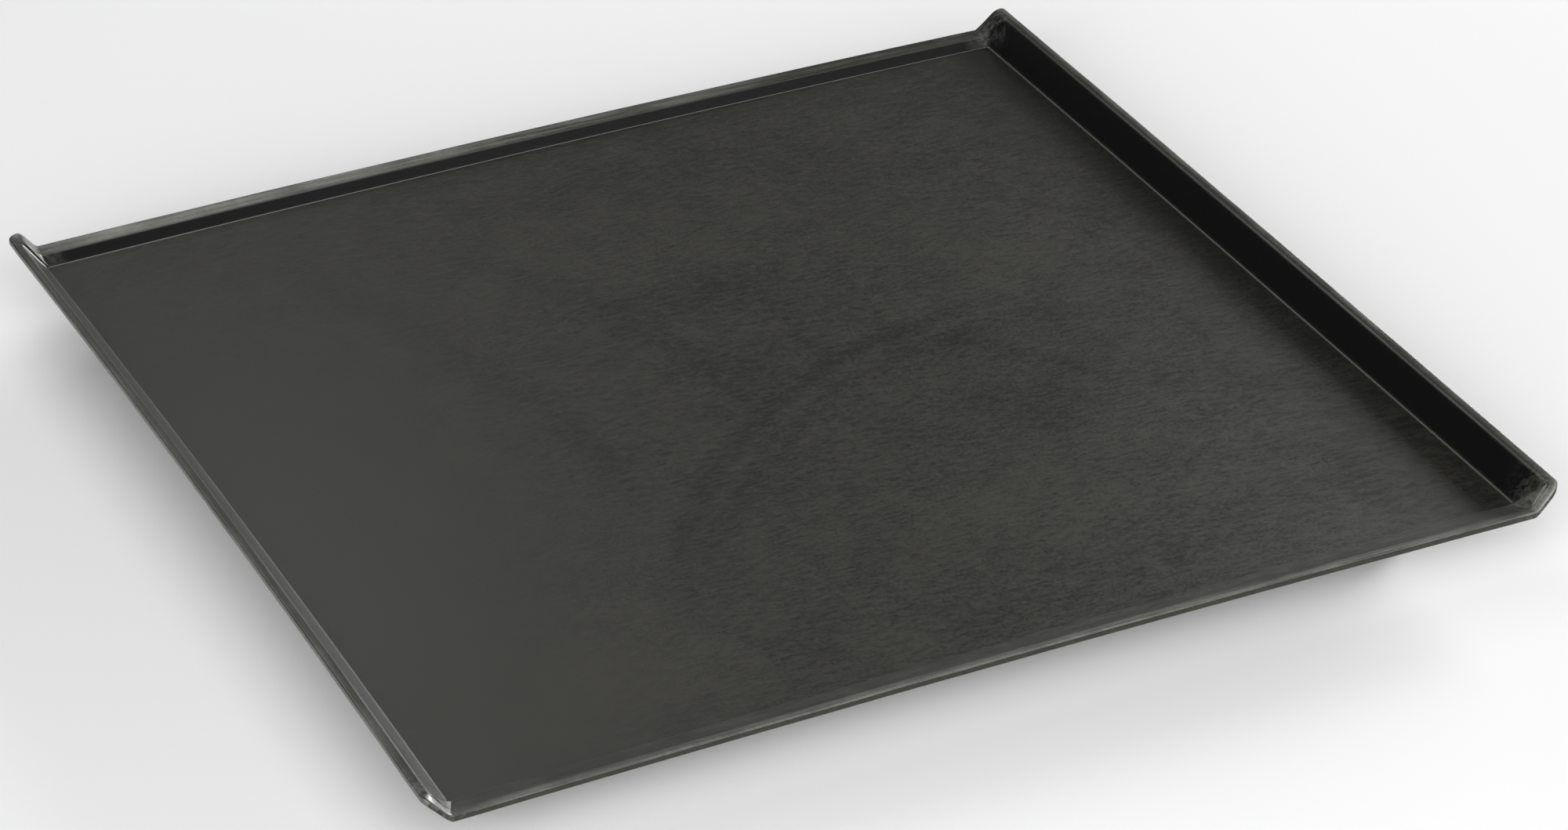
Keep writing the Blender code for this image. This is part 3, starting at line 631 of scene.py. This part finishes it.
# soft patches of flow tone, the last three a painted reflection of the dark rear and right walls: centre,
# reach along X and Y, tone
flowAndReflectionPatches = [
    {"centre": (16, 76), "reach": (46, 34), "tone": -0.22},
    {"centre": (5, 2), "reach": (26, 22), "tone": -0.15},
    {"centre": (44, 196), "reach": (52, 26), "tone": -0.16},
    {"centre": (106, -87), "reach": (36, 44), "tone": -0.20},
    {"centre": (192, -190), "reach": (18, 52), "tone": -0.26},
    {"centre": (205, -38), "reach": (20, 110), "tone": 0.16},
    {"centre": (140, -100), "reach": (40, 24), "tone": 0.14},
    {"centre": (-150, -192), "reach": (90, 60), "tone": 0.30},
    {"centre": (60, -150), "reach": (120, 60), "tone": 0.16},
    {"centre": (-10, 130), "reach": (160, 60), "tone": 0.14},
    {"centre": (150, 40), "reach": (70, 70), "tone": 0.18},
    {"centre": (-185, -185), "reach": (12, 10), "tone": -0.30},
    # painted reflection of the dark rear and right walls in the floor, darker beside them and in their
    # corner
    {"centre": (240, 0), "reach": (26, 420), "tone": -0.42},
    {"centre": (0, 240), "reach": (420, 24), "tone": -0.36},
    {"centre": (225, 225), "reach": (90, 90), "tone": -0.22},
]


# the share of its length over which an arc fades at each end, and how much of the fade lies outside
arcFade = 0.22
arcOutside = 0.3


def circleThrough(points):
    (ax, ay), (bx, by), (cx, cy) = points
    twice = 2 * (ax * (by - cy) + bx * (cy - ay) + cx * (ay - by))
    a2, b2, c2 = ax * ax + ay * ay, bx * bx + by * by, cx * cx + cy * cy
    x = (a2 * (by - cy) + b2 * (cy - ay) + c2 * (ay - by)) / twice
    y = (a2 * (cx - bx) + b2 * (ax - cx) + c2 * (bx - ax)) / twice
    return x, y, math.hypot(ax - x, ay - y)


def arcMark(tree, place, values, total):
    # adds one arc to the tone so far: strongest on its line, soft across it and at its ends
    x, y, radius = circleThrough(values["through"])
    start = Vector(values["through"][0])
    chord = Vector(values["through"][2]) - start
    along = chord.normalized()
    fade = arcFade * chord.length * millimetre
    length = chord.length * millimetre
    away = addNode(tree, "ShaderNodeVectorMath", {"operation": "DISTANCE"}, {
        0: place, 1: (x * millimetre, y * millimetre, 0),
    })
    off = addNode(tree, "ShaderNodeMath", {"operation": "SUBTRACT"}, {
        0: away.outputs["Value"], 1: radius * millimetre,
    })
    size = addNode(tree, "ShaderNodeMath", {"operation": "ABSOLUTE"}, {0: off.outputs[0]})
    across = addNode(tree, "ShaderNodeMapRange", {"interpolation_type": "SMOOTHSTEP"}, {
        "Value": size.outputs[0],
        "From Min": 0.0,
        "From Max": values["width"] * millimetre,
        "To Min": values["tone"],
        "To Max": 0.0,
    })
    back = addNode(tree, "ShaderNodeVectorMath", {"operation": "SUBTRACT"}, {
        0: place, 1: (start.x * millimetre, start.y * millimetre, 0),
    })
    reach = addNode(tree, "ShaderNodeVectorMath", {"operation": "DOT_PRODUCT"}, {
        0: back.outputs[0], 1: (along.x, along.y, 0),
    })
    begun = addNode(tree, "ShaderNodeMapRange", {"interpolation_type": "SMOOTHSTEP"}, {
        "Value": reach.outputs["Value"],
        "From Min": -arcOutside * fade,
        "From Max": (1 - arcOutside) * fade,
    })
    ended = addNode(tree, "ShaderNodeMapRange", {"interpolation_type": "SMOOTHSTEP"}, {
        "Value": reach.outputs["Value"],
        "From Min": length - (1 - arcOutside) * fade,
        "From Max": length + arcOutside * fade,
        "To Min": 1.0,
        "To Max": 0.0,
    })
    both = addNode(tree, "ShaderNodeMath", {"operation": "MULTIPLY"}, {
        0: begun.outputs[0], 1: ended.outputs[0],
    })
    summed = addNode(tree, "ShaderNodeMath", {"operation": "MULTIPLY_ADD"}, {
        0: across.outputs[0], 1: both.outputs[0], 2: total,
    })
    return summed.outputs[0]


def patchMark(tree, place, values, total):
    # adds one soft oval to the tone so far
    x, y = values["centre"]
    reachX, reachY = values["reach"]
    back = addNode(tree, "ShaderNodeVectorMath", {"operation": "SUBTRACT"}, {
        0: place, 1: (x * millimetre, y * millimetre, 0),
    })
    scaled = addNode(tree, "ShaderNodeVectorMath", {"operation": "MULTIPLY"}, {
        0: back.outputs[0], 1: (perMetre(reachX), perMetre(reachY), 0),
    })
    away = addNode(tree, "ShaderNodeVectorMath", {"operation": "LENGTH"}, {0: scaled.outputs[0]})
    soft = addNode(tree, "ShaderNodeMapRange", {"interpolation_type": "SMOOTHSTEP"}, {
        "Value": away.outputs["Value"],
        "From Min": 0.0,
        "From Max": 1.0,
        "To Min": values["tone"],
        "To Max": 0.0,
    })
    summed = addNode(tree, "ShaderNodeMath", {"operation": "ADD"}, {
        0: soft.outputs[0], 1: total,
    })
    return summed.outputs[0]


def glassFibrePolyesterPressed(values):
    made = newMaterial("glass_fibre_polyester_pressed")
    tree = made.node_tree
    coords = addNode(tree, "ShaderNodeTexCoord").outputs["Object"]
    wander = addNode(tree, "ShaderNodeTexNoise", inputs={
        "Vector": coords, "Scale": perMetre(values["wanderMm"]), "Detail": 3.0,
    })
    centred = addNode(tree, "ShaderNodeVectorMath", {"operation": "SUBTRACT"}, {
        0: wander.outputs["Color"], 1: (0.5, 0.5, 0.5),
    })
    moved = addNode(tree, "ShaderNodeVectorMath", {"operation": "MULTIPLY_ADD"}, {
        0: centred.outputs[0], 1: (values["wander"],) * 3, 2: coords,
    })
    place = addNode(tree, "ShaderNodeVectorMath", {"operation": "MULTIPLY"}, {
        0: moved.outputs[0], 1: (1, 1, 0),
    }).outputs[0]
    patches = addNode(tree, "ShaderNodeTexNoise", inputs={
        "Vector": coords, "Scale": perMetre(values["patchMm"]), "Detail": 4.0, "Roughness": 0.6,
    })
    tone = addNode(tree, "ShaderNodeMapRange", inputs={
        "Value": patches.outputs[0],
        "From Min": 0.3, "From Max": 0.7,
        "To Min": -values["patchTone"], "To Max": values["patchTone"],
    }).outputs[0]
    for arc in flowArcs:
        tone = arcMark(tree, place, arc, tone)
    for patch in flowAndReflectionPatches:
        tone = patchMark(tree, place, patch, tone)
    slant = addNode(tree, "ShaderNodeMapping", inputs={
        "Vector": coords,
        "Rotation": (0, 0, math.radians(values["fibreAngle"])),
        "Scale": tuple(perMetre(values["fibreMm"][k]) for k in (1, 0, 2)),
    })
    fibres = addNode(tree, "ShaderNodeTexNoise", inputs={
        "Vector": slant.outputs[0], "Scale": 1.0, "Detail": 5.0, "Roughness": 0.65,
    })
    grain = addNode(tree, "ShaderNodeTexNoise", inputs={
        "Vector": coords, "Scale": perMetre(values["grainMm"]), "Detail": 3.0, "Roughness": 0.7,
    })
    fibreTone = addNode(tree, "ShaderNodeMapRange", inputs={
        "Value": fibres.outputs[0],
        "From Min": 0.3, "From Max": 0.7,
        "To Min": -values["fibreTone"], "To Max": values["fibreTone"],
    })
    grainTone = addNode(tree, "ShaderNodeMapRange", inputs={
        "Value": grain.outputs[0],
        "From Min": 0.3, "From Max": 0.7,
        "To Min": values["grainTone"][0], "To Max": values["grainTone"][1],
    })
    fine = addNode(tree, "ShaderNodeMath", {"operation": "ADD"}, {
        0: fibreTone.outputs[0], 1: grainTone.outputs[0],
    })
    shade = addNode(tree, "ShaderNodeMath", {"operation": "ADD", "use_clamp": True}, {
        0: fine.outputs[0], 1: tone,
    })
    skin = addNode(tree, "ShaderNodeMix", {"data_type": "RGBA"}, {
        0: shade.outputs[0], 6: linearColour(values["dark"]), 7: linearColour(values["light"]),
    })
    across = addNode(tree, "ShaderNodeAttribute", {"attribute_name": "across"})
    spread = addNode(tree, "ShaderNodeVectorMath", {"operation": "MULTIPLY"}, {
        0: coords, 1: (perMetre(values["lineMm"][1]), perMetre(values["lineMm"][1]), 0),
    })
    stacked = addNode(tree, "ShaderNodeMath", {"operation": "MULTIPLY"}, {
        0: across.outputs["Fac"], 1: perMetre(values["lineMm"][0]),
    })
    tall = addNode(tree, "ShaderNodeCombineXYZ", inputs={"Z": stacked.outputs[0]})
    laid = addNode(tree, "ShaderNodeVectorMath", {"operation": "ADD"}, {
        0: spread.outputs[0], 1: tall.outputs[0],
    })
    lines = addNode(tree, "ShaderNodeTexNoise", inputs={
        "Vector": laid.outputs[0], "Scale": 1.0, "Detail": 3.0, "Roughness": 0.6,
    })
    onWall = addNode(tree, "ShaderNodeMapRange", {"interpolation_type": "SMOOTHSTEP"}, {
        "Value": across.outputs["Fac"],
        "From Min": values["lipMm"][0] * millimetre, "From Max": values["lipMm"][1] * millimetre,
    })
    wallStart = addNode(tree, "ShaderNodeMapRange", {"interpolation_type": "SMOOTHSTEP"}, {
        "Value": across.outputs["Fac"],
        "From Min": values["wallMm"][0] * millimetre, "From Max": values["wallMm"][1] * millimetre,
    })
    wallEnd = addNode(tree, "ShaderNodeMapRange", {"interpolation_type": "SMOOTHSTEP"}, {
        "Value": across.outputs["Fac"],
        "From Min": values["wallMm"][2] * millimetre, "From Max": values["wallMm"][3] * millimetre,
        "To Min": 1.0, "To Max": 0.0,
    })
    onFace = addNode(tree, "ShaderNodeMath", {"operation": "MULTIPLY"}, {
        0: wallStart.outputs[0], 1: wallEnd.outputs[0],
    })
    apart = addNode(tree, "ShaderNodeSeparateXYZ", inputs={0: coords})
    behind = addNode(tree, "ShaderNodeMapRange", {"interpolation_type": "SMOOTHSTEP"}, {
        "Value": apart.outputs["Y"],
        "From Min": values["frontMm"][0] * millimetre,
        "From Max": values["frontMm"][1] * millimetre,
    })
    rightwards = addNode(tree, "ShaderNodeMapRange", {"interpolation_type": "SMOOTHSTEP"}, {
        "Value": apart.outputs["X"],
        "From Min": values["leftMm"][0] * millimetre,
        "From Max": values["leftMm"][1] * millimetre,
        "To Min": values["leftShade"], "To Max": 1.0,
    })
    # painted shade on the steep inner faces: every side but the front, less on the left
    shadedSides = addNode(tree, "ShaderNodeMath", {"operation": "MULTIPLY"}, {
        0: behind.outputs[0], 1: rightwards.outputs[0],
    })
    steep = addNode(tree, "ShaderNodeMath", {"operation": "MULTIPLY"}, {
        0: onFace.outputs[0], 1: shadedSides.outputs[0],
    })
    lineTone = addNode(tree, "ShaderNodeMapRange", {"interpolation_type": "SMOOTHSTEP"}, {
        "Value": lines.outputs[0],
        "From Min": 0.35, "From Max": 0.65,
        "To Min": values["lineTone"][0], "To Max": values["lineTone"][1],
    })
    rim = addNode(tree, "ShaderNodeAttribute", {"attribute_name": "rim"})
    corner = addNode(tree, "ShaderNodeAttribute", {"attribute_name": "corner"})
    rubbed = addNode(tree, "ShaderNodeMapRange", {"interpolation_type": "SMOOTHSTEP"}, {
        "Value": patches.outputs[0],
        "From Min": 0.35, "From Max": 0.65,
        "To Min": values["rubbed"][0], "To Max": values["rubbed"][1],
    })
    speckle = addNode(tree, "ShaderNodeMapRange", inputs={
        "Value": grain.outputs[0],
        "From Min": 0.35, "From Max": 0.65,
        "To Min": values["speckle"][0], "To Max": values["speckle"][1],
    })
    # the lips' grey: wear and painted highlight together, broken up in patches and grains
    lipWearAndSheen = addNode(tree, "ShaderNodeMath", {"operation": "MULTIPLY"}, {
        0: rim.outputs["Fac"], 1: rubbed.outputs[0],
    })
    streaked = addNode(tree, "ShaderNodeMath", {"operation": "MULTIPLY_ADD"}, {
        0: lineTone.outputs[0], 1: values["streakWear"], 2: speckle.outputs[0],
    })
    lipScuffAndSheen = addNode(tree, "ShaderNodeMath", {"operation": "MULTIPLY", "use_clamp": True}, {
        0: lipWearAndSheen.outputs[0], 1: streaked.outputs[0],
    })
    # painted shade: the steep inner faces are mixed towards the shadow colour
    paintedShadeColour = addNode(tree, "ShaderNodeMix", {"data_type": "RGBA"}, {
        0: steep.outputs[0], 6: skin.outputs[2], 7: linearColour(values["shadow"]),
    })
    # painted highlight along the creases and bends, greyed with the lips' colour
    gleam = addNode(tree, "ShaderNodeAttribute", {"attribute_name": "gleam"})
    paintedCreaseHighlight = addNode(tree, "ShaderNodeMath", {"operation": "MULTIPLY"}, {
        0: gleam.outputs["Fac"], 1: values["creaseHighlight"],
    })
    wearAndHighlight = addNode(tree, "ShaderNodeMath", {"operation": "MAXIMUM"}, {
        0: lipScuffAndSheen.outputs[0], 1: paintedCreaseHighlight.outputs[0],
    })
    greyed = addNode(tree, "ShaderNodeMix", {"data_type": "RGBA"}, {
        0: wearAndHighlight.outputs[0], 6: paintedShadeColour.outputs[2], 7: linearColour(values["scuffAndSheen"]),
    })
    nicked = addNode(tree, "ShaderNodeTexNoise", inputs={
        "Vector": coords, "Scale": perMetre(values["nickMm"]), "Detail": 3.0, "Distortion": 0.8,
    })
    nicks = addNode(tree, "ShaderNodeMapRange", {"interpolation_type": "SMOOTHSTEP"}, {
        "Value": nicked.outputs[0], "From Min": 0.40, "From Max": 0.66,
    })
    cornerWear = addNode(tree, "ShaderNodeMath", {"operation": "MULTIPLY"}, {
        0: corner.outputs["Fac"], 1: nicks.outputs[0],
    })
    cornerScuff = addNode(tree, "ShaderNodeMath", {"operation": "MULTIPLY"}, {
        0: cornerWear.outputs[0], 1: values["cornerWear"],
    })
    colour = addNode(tree, "ShaderNodeMix", {"data_type": "RGBA"}, {
        0: cornerScuff.outputs[0], 6: greyed.outputs[2], 7: linearColour(values["chalk"]),
    })
    rough = addNode(tree, "ShaderNodeMapRange", inputs={
        "Value": shade.outputs[0],
        "From Min": 0.1, "From Max": 0.9,
        "To Min": values["roughness"][0], "To Max": values["roughness"][1],
    })
    rubbedRim = addNode(tree, "ShaderNodeMath", {"operation": "ADD"}, {
        0: lineTone.outputs[0], 1: values["rimRoughness"],
    })
    rimRough = addNode(tree, "ShaderNodeMix", {"data_type": "FLOAT"}, {
        0: onWall.outputs[0], 2: rough.outputs[0], 3: rubbedRim.outputs[0],
    })
    faceRough = addNode(tree, "ShaderNodeMix", {"data_type": "FLOAT"}, {
        0: steep.outputs[0], 2: rimRough.outputs[0], 3: values["faceRoughness"],
    })
    cornerRough = addNode(tree, "ShaderNodeMapRange", inputs={
        "Value": nicks.outputs[0],
        "To Min": values["cornerRoughness"][0], "To Max": values["cornerRoughness"][1],
    })
    roughWorn = addNode(tree, "ShaderNodeMix", {"data_type": "FLOAT"}, {
        0: corner.outputs["Fac"], 2: faceRough.outputs[0], 3: cornerRough.outputs[0],
    })
    relief = addNode(tree, "ShaderNodeMath", {"operation": "MULTIPLY_ADD"}, {
        0: fibres.outputs[0], 1: values["fibreRelief"], 2: grain.outputs[0],
    })
    bump = addNode(tree, "ShaderNodeBump", inputs={
        "Strength": 1.0,
        "Distance": values["bumpMm"] * millimetre,
        "Height": relief.outputs[0],
    })
    shader = addNode(tree, "ShaderNodeBsdfPrincipled", inputs={
        "Base Color": colour.outputs[2],
        "Roughness": roughWorn.outputs[0],
        "IOR": values["ior"],
        "Normal": bump.outputs[0],
    })
    addNode(tree, "ShaderNodeOutputMaterial", inputs={"Surface": shader.outputs[0]})
    return made


tray = makeTray(trayValues, glassFibrePolyesterPressed(trayFinish))
print("tray moulded:", len(tray.data.polygons), "faces")


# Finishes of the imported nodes, one to each material slot. tones are the pattern's two colours,
# patternMm its size along X, Y and Z, and reliefMm the height of its bump
finishes = {
    # rolled sheet: faint long streaks and a soft grey gleam
    "sheet_aluminium": {
        "name": "aluminium_sheet_rolled", "tones": ("#b4b6b9", "#cfd1d3"),
        "patternMm": (60, 1.2, 1.2), "roughness": (0.26, 0.40), "metallic": 1.0,
        "reliefMm": 0.01,
    },
    # extruded silicone: even matt red with a slight bloom
    "silicone_red": {
        "name": "silicone_rubber_extruded_red", "tones": ("#8f2a20", "#a5392b"),
        "patternMm": (4, 4, 4), "roughness": (0.48, 0.62), "ior": 1.43, "reliefMm": 0.02,
    },
    # extruded foam board: tiny closed cells, dry and matt
    "foam_board": {
        "name": "polystyrene_foam_board", "tones": ("#8fa7b8", "#a6bac8"),
        "patternMm": (1.6, 1.6, 1.6), "roughness": (0.80, 0.95), "ior": 1.5, "reliefMm": 0.15,
    },
    # vacuum-formed sheet: near black, with a leathery tool texture that breaks up its sheen
    "pan_plastic": {
        "name": "abs_sheet_vacuum_formed", "tones": ("#191a1b", "#26272a"),
        "patternMm": (1.4, 1.4, 1.4), "roughness": (0.42, 0.62), "ior": 1.54, "reliefMm": 0.06,
    },
    # moulded nitrile: charcoal, dusty and dull
    "black_rubber": {
        "name": "nitrile_rubber_moulded", "tones": ("#17171a", "#232326"),
        "patternMm": (2.0, 2.0, 2.0), "roughness": (0.66, 0.86), "ior": 1.52, "reliefMm": 0.04,
    },
    # zinc plate: cool silver with a faintly cloudy passivate
    "zinc_steel": {
        "name": "steel_zinc_plated", "tones": ("#a9aeb3", "#c8cac8"),
        "patternMm": (2.5, 2.5, 2.5), "roughness": (0.24, 0.38), "metallic": 1.0,
        "reliefMm": 0.01,
    },
    # injection-moulded nylon: black with a slight satin
    "gland_plastic": {
        "name": "nylon_moulded_black", "tones": ("#1f2021", "#2b2c2e"),
        "patternMm": (1.8, 1.8, 1.8), "roughness": (0.36, 0.50), "ior": 1.53, "reliefMm": 0.03,
    },
    # natural nylon: milky, with a waxy gloss
    "block_nylon": {
        "name": "nylon_moulded_natural", "tones": ("#d2cdbf", "#dfdbcf"),
        "patternMm": (5, 5, 5), "roughness": (0.38, 0.50), "ior": 1.53, "reliefMm": 0.02,
    },
    # turned brass: yellow with fine rings along Y
    "brass": {
        "name": "brass_turned", "tones": ("#c19a4b", "#d8b669"),
        "patternMm": (30, 0.6, 30), "roughness": (0.22, 0.34), "metallic": 1.0,
        "reliefMm": 0.01,
    },
    # pressed phenolic: brown-black, smooth and hard
    "cutout_case": {
        "name": "phenolic_pressed", "tones": ("#2c2823", "#38322b"),
        "patternMm": (3, 3, 3), "roughness": (0.32, 0.44), "ior": 1.6, "reliefMm": 0.02,
    },
    # die-cut foam pad: open cells, quite dull
    "pad_foam": {
        "name": "silicone_foam_die_cut", "tones": ("#4c4c4c", "#686868"),
        "patternMm": (0.9, 0.9, 0.9), "roughness": (0.85, 0.97), "ior": 1.43, "reliefMm": 0.12,
    },
    # extruded wire covers: soft gloss, faintly mottled; the earth wire's is green and yellow
    "live_brown": {
        "name": "pvc_extruded_brown", "tones": ("#5a3520", "#6a4129"),
        "patternMm": (6, 6, 6), "roughness": (0.38, 0.50), "ior": 1.54, "reliefMm": 0.01,
    },
    "neutral_blue": {
        "name": "pvc_extruded_blue", "tones": ("#2a4f8e", "#3460a6"),
        "patternMm": (6, 6, 6), "roughness": (0.38, 0.50), "ior": 1.54, "reliefMm": 0.01,
    },
    "earth_green": {
        "name": "pvc_extruded_green_yellow", "tones": ("#3c8a35", "#cbb93a"),
        "patternMm": (9, 9, 9), "roughness": (0.38, 0.50), "ior": 1.54, "reliefMm": 0.01,
    },
    # crimped, tinned copper: pale silver with a warm cast
    "tinned_copper": {
        "name": "copper_tinned", "tones": ("#b9b4ac", "#cfcac2"),
        "patternMm": (2, 2, 2), "roughness": (0.30, 0.42), "metallic": 1.0, "reliefMm": 0.01,
    },
}


def patternedFinish(values):
    made = newMaterial(values["name"])
    tree = made.node_tree
    coords = addNode(tree, "ShaderNodeTexCoord").outputs["Object"]
    sized = addNode(tree, "ShaderNodeVectorMath", {"operation": "MULTIPLY"}, {
        0: coords, 1: tuple(perMetre(size) for size in values["patternMm"]),
    })
    pattern = addNode(tree, "ShaderNodeTexNoise", inputs={
        "Vector": sized.outputs[0], "Scale": 1.0, "Detail": 4.0, "Roughness": 0.6,
    })
    spread = addNode(tree, "ShaderNodeMapRange", {"interpolation_type": "SMOOTHSTEP"}, {
        "Value": pattern.outputs[0], "From Min": 0.36, "From Max": 0.64,
    })
    colour = addNode(tree, "ShaderNodeMix", {"data_type": "RGBA"}, {
        0: spread.outputs[0],
        6: linearColour(values["tones"][0]),
        7: linearColour(values["tones"][1]),
    })
    rough = addNode(tree, "ShaderNodeMapRange", inputs={
        "Value": pattern.outputs[0],
        "From Min": 0.3,
        "From Max": 0.7,
        "To Min": values["roughness"][0],
        "To Max": values["roughness"][1],
    })
    bump = addNode(tree, "ShaderNodeBump", inputs={
        "Strength": 1.0,
        "Distance": values["reliefMm"] * millimetre,
        "Height": pattern.outputs[0],
    })
    shader = addNode(tree, "ShaderNodeBsdfPrincipled", inputs={
        "Base Color": colour.outputs[2],
        "Roughness": rough.outputs[0],
        "Normal": bump.outputs[0],
        "Metallic": values.get("metallic", 0.0),
    })
    if "ior" in values:
        shader.inputs["IOR"].default_value = values["ior"]
    addNode(tree, "ShaderNodeOutputMaterial", inputs={"Surface": shader.outputs[0]})
    return made


surfaces = {slotName: patternedFinish(values) for slotName, values in finishes.items()}
slotOf = {row["node"]: row["material_slot"] for row in frame["record"]["subparts"]}
for nodeName, node in frame["nodes"].items():
    if nodeName == "upper_tray":
        continue
    for holder in node.material_slots:
        holder.material = surfaces[slotOf[nodeName]]
print("finishes given:", len(surfaces))


# Turned pieces: an outline of (radius, height) points swept round an upright axis
def turnedMesh(name, outline, steps):
    shape = bmesh.new()
    loops = []
    for radius, height in outline:
        loop = []
        for k in range(steps):
            angle = 2 * math.pi * k / steps
            loop.append(shape.verts.new((
                radius * math.cos(angle), radius * math.sin(angle), height,
            )))
        loops.append(loop)
    for lower, upper in zip(loops, loops[1:]):
        joinRings(shape, lower, upper)
    shape.faces.new(loops[0])
    shape.faces.new(loops[-1])
    bmesh.ops.recalc_face_normals(shape, faces=shape.faces)
    mesh = bpy.data.meshes.new(name)
    shape.to_mesh(mesh)
    shape.free()
    mesh.shade_smooth()
    mesh.set_sharp_from_angle(angle=math.radians(footValues["sharpAngle"]))
    return mesh


# Feet: soft rubber pads with a dished middle and two grip grooves in the sole
footValues = {
    "steps": 56,
    "sharpAngle": 35,           # degrees
    "gap": 0.0003,              # left between a pad and the pan
    "stem": 0.0026,             # the stud's plain length, through the pan
    "tip": 0.0004,              # radius left at the middle of both ends
    "dishLip": 0.0006,
    "studHalf": 0.0027,
    "barbHalf": 0.0040,
    "grooveDepth": 0.0006,
    "grooves": (0.0070, 0.0086),
    "grooveHalf": 0.00035,
    "grooveFloor": 0.6,         # the share of a groove's width that its floor takes
    "dishHalf": 0.0050,
    "dishDepth": 0.0012,
    "dishBend": 0.4,            # the share of the dish's depth where its side steepens
    "dishFlare": 0.0003,
    "barbTip": 0.8,             # the barb's end against the stud
    "shoulder": 0.0007,
    "shoulderSteps": (4, 3),    # round the sole's edge, and round the top's
}


def footOutline(low, high, values):
    radius = (high.x - low.x) / 2
    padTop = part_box("base_pan")[0].z - values["gap"]
    barbLow = padTop + values["stem"]
    dish = values["dishDepth"]
    tip = values["tip"]
    outline = [(tip, low.z + dish), (values["dishHalf"] - values["dishLip"], low.z + dish)]
    outline += [
        (values["dishHalf"], low.z + dish * values["dishBend"]),
        (values["dishHalf"] + values["dishFlare"], low.z),
    ]
    half = values["grooveHalf"]
    flat = half * values["grooveFloor"]
    for groove in values["grooves"]:
        outline += [
            (groove - half, low.z),
            (groove - flat, low.z + values["grooveDepth"]),
            (groove + flat, low.z + values["grooveDepth"]),
            (groove + half, low.z),
        ]
    shoulder = values["shoulder"]
    soleSteps, topSteps = values["shoulderSteps"]
    for k in range(soleSteps + 1):
        angle = math.pi / 2 * k / soleSteps
        outline.append((
            radius - shoulder + shoulder * math.sin(angle),
            low.z + shoulder - shoulder * math.cos(angle),
        ))
    for k in range(topSteps + 1):
        angle = math.pi / 2 * k / topSteps
        outline.append((
            radius - shoulder / 2 + shoulder / 2 * math.cos(angle),
            padTop - shoulder / 2 + shoulder / 2 * math.sin(angle),
        ))
    outline += [
        (values["studHalf"], padTop),
        (values["studHalf"], barbLow),
        (values["barbHalf"], barbLow),
        (values["studHalf"] * values["barbTip"], high.z),
        (tip, high.z),
    ]
    return outline


for nodeName in sorted(frame["nodes"]):
    if not nodeName.startswith("foot_"):
        continue
    low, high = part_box(nodeName)
    outline = footOutline(low, high, footValues)
    foot = newPiece(
        "moulded_" + nodeName,
        turnedMesh("moulded_" + nodeName, outline, footValues["steps"]),
        surfaces["black_rubber"],
    )
    foot.location = ((low.x + high.x) / 2, (low.y + high.y) / 2, 0)
    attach(foot, "root")
    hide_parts(nodeName)
print("feet moulded")
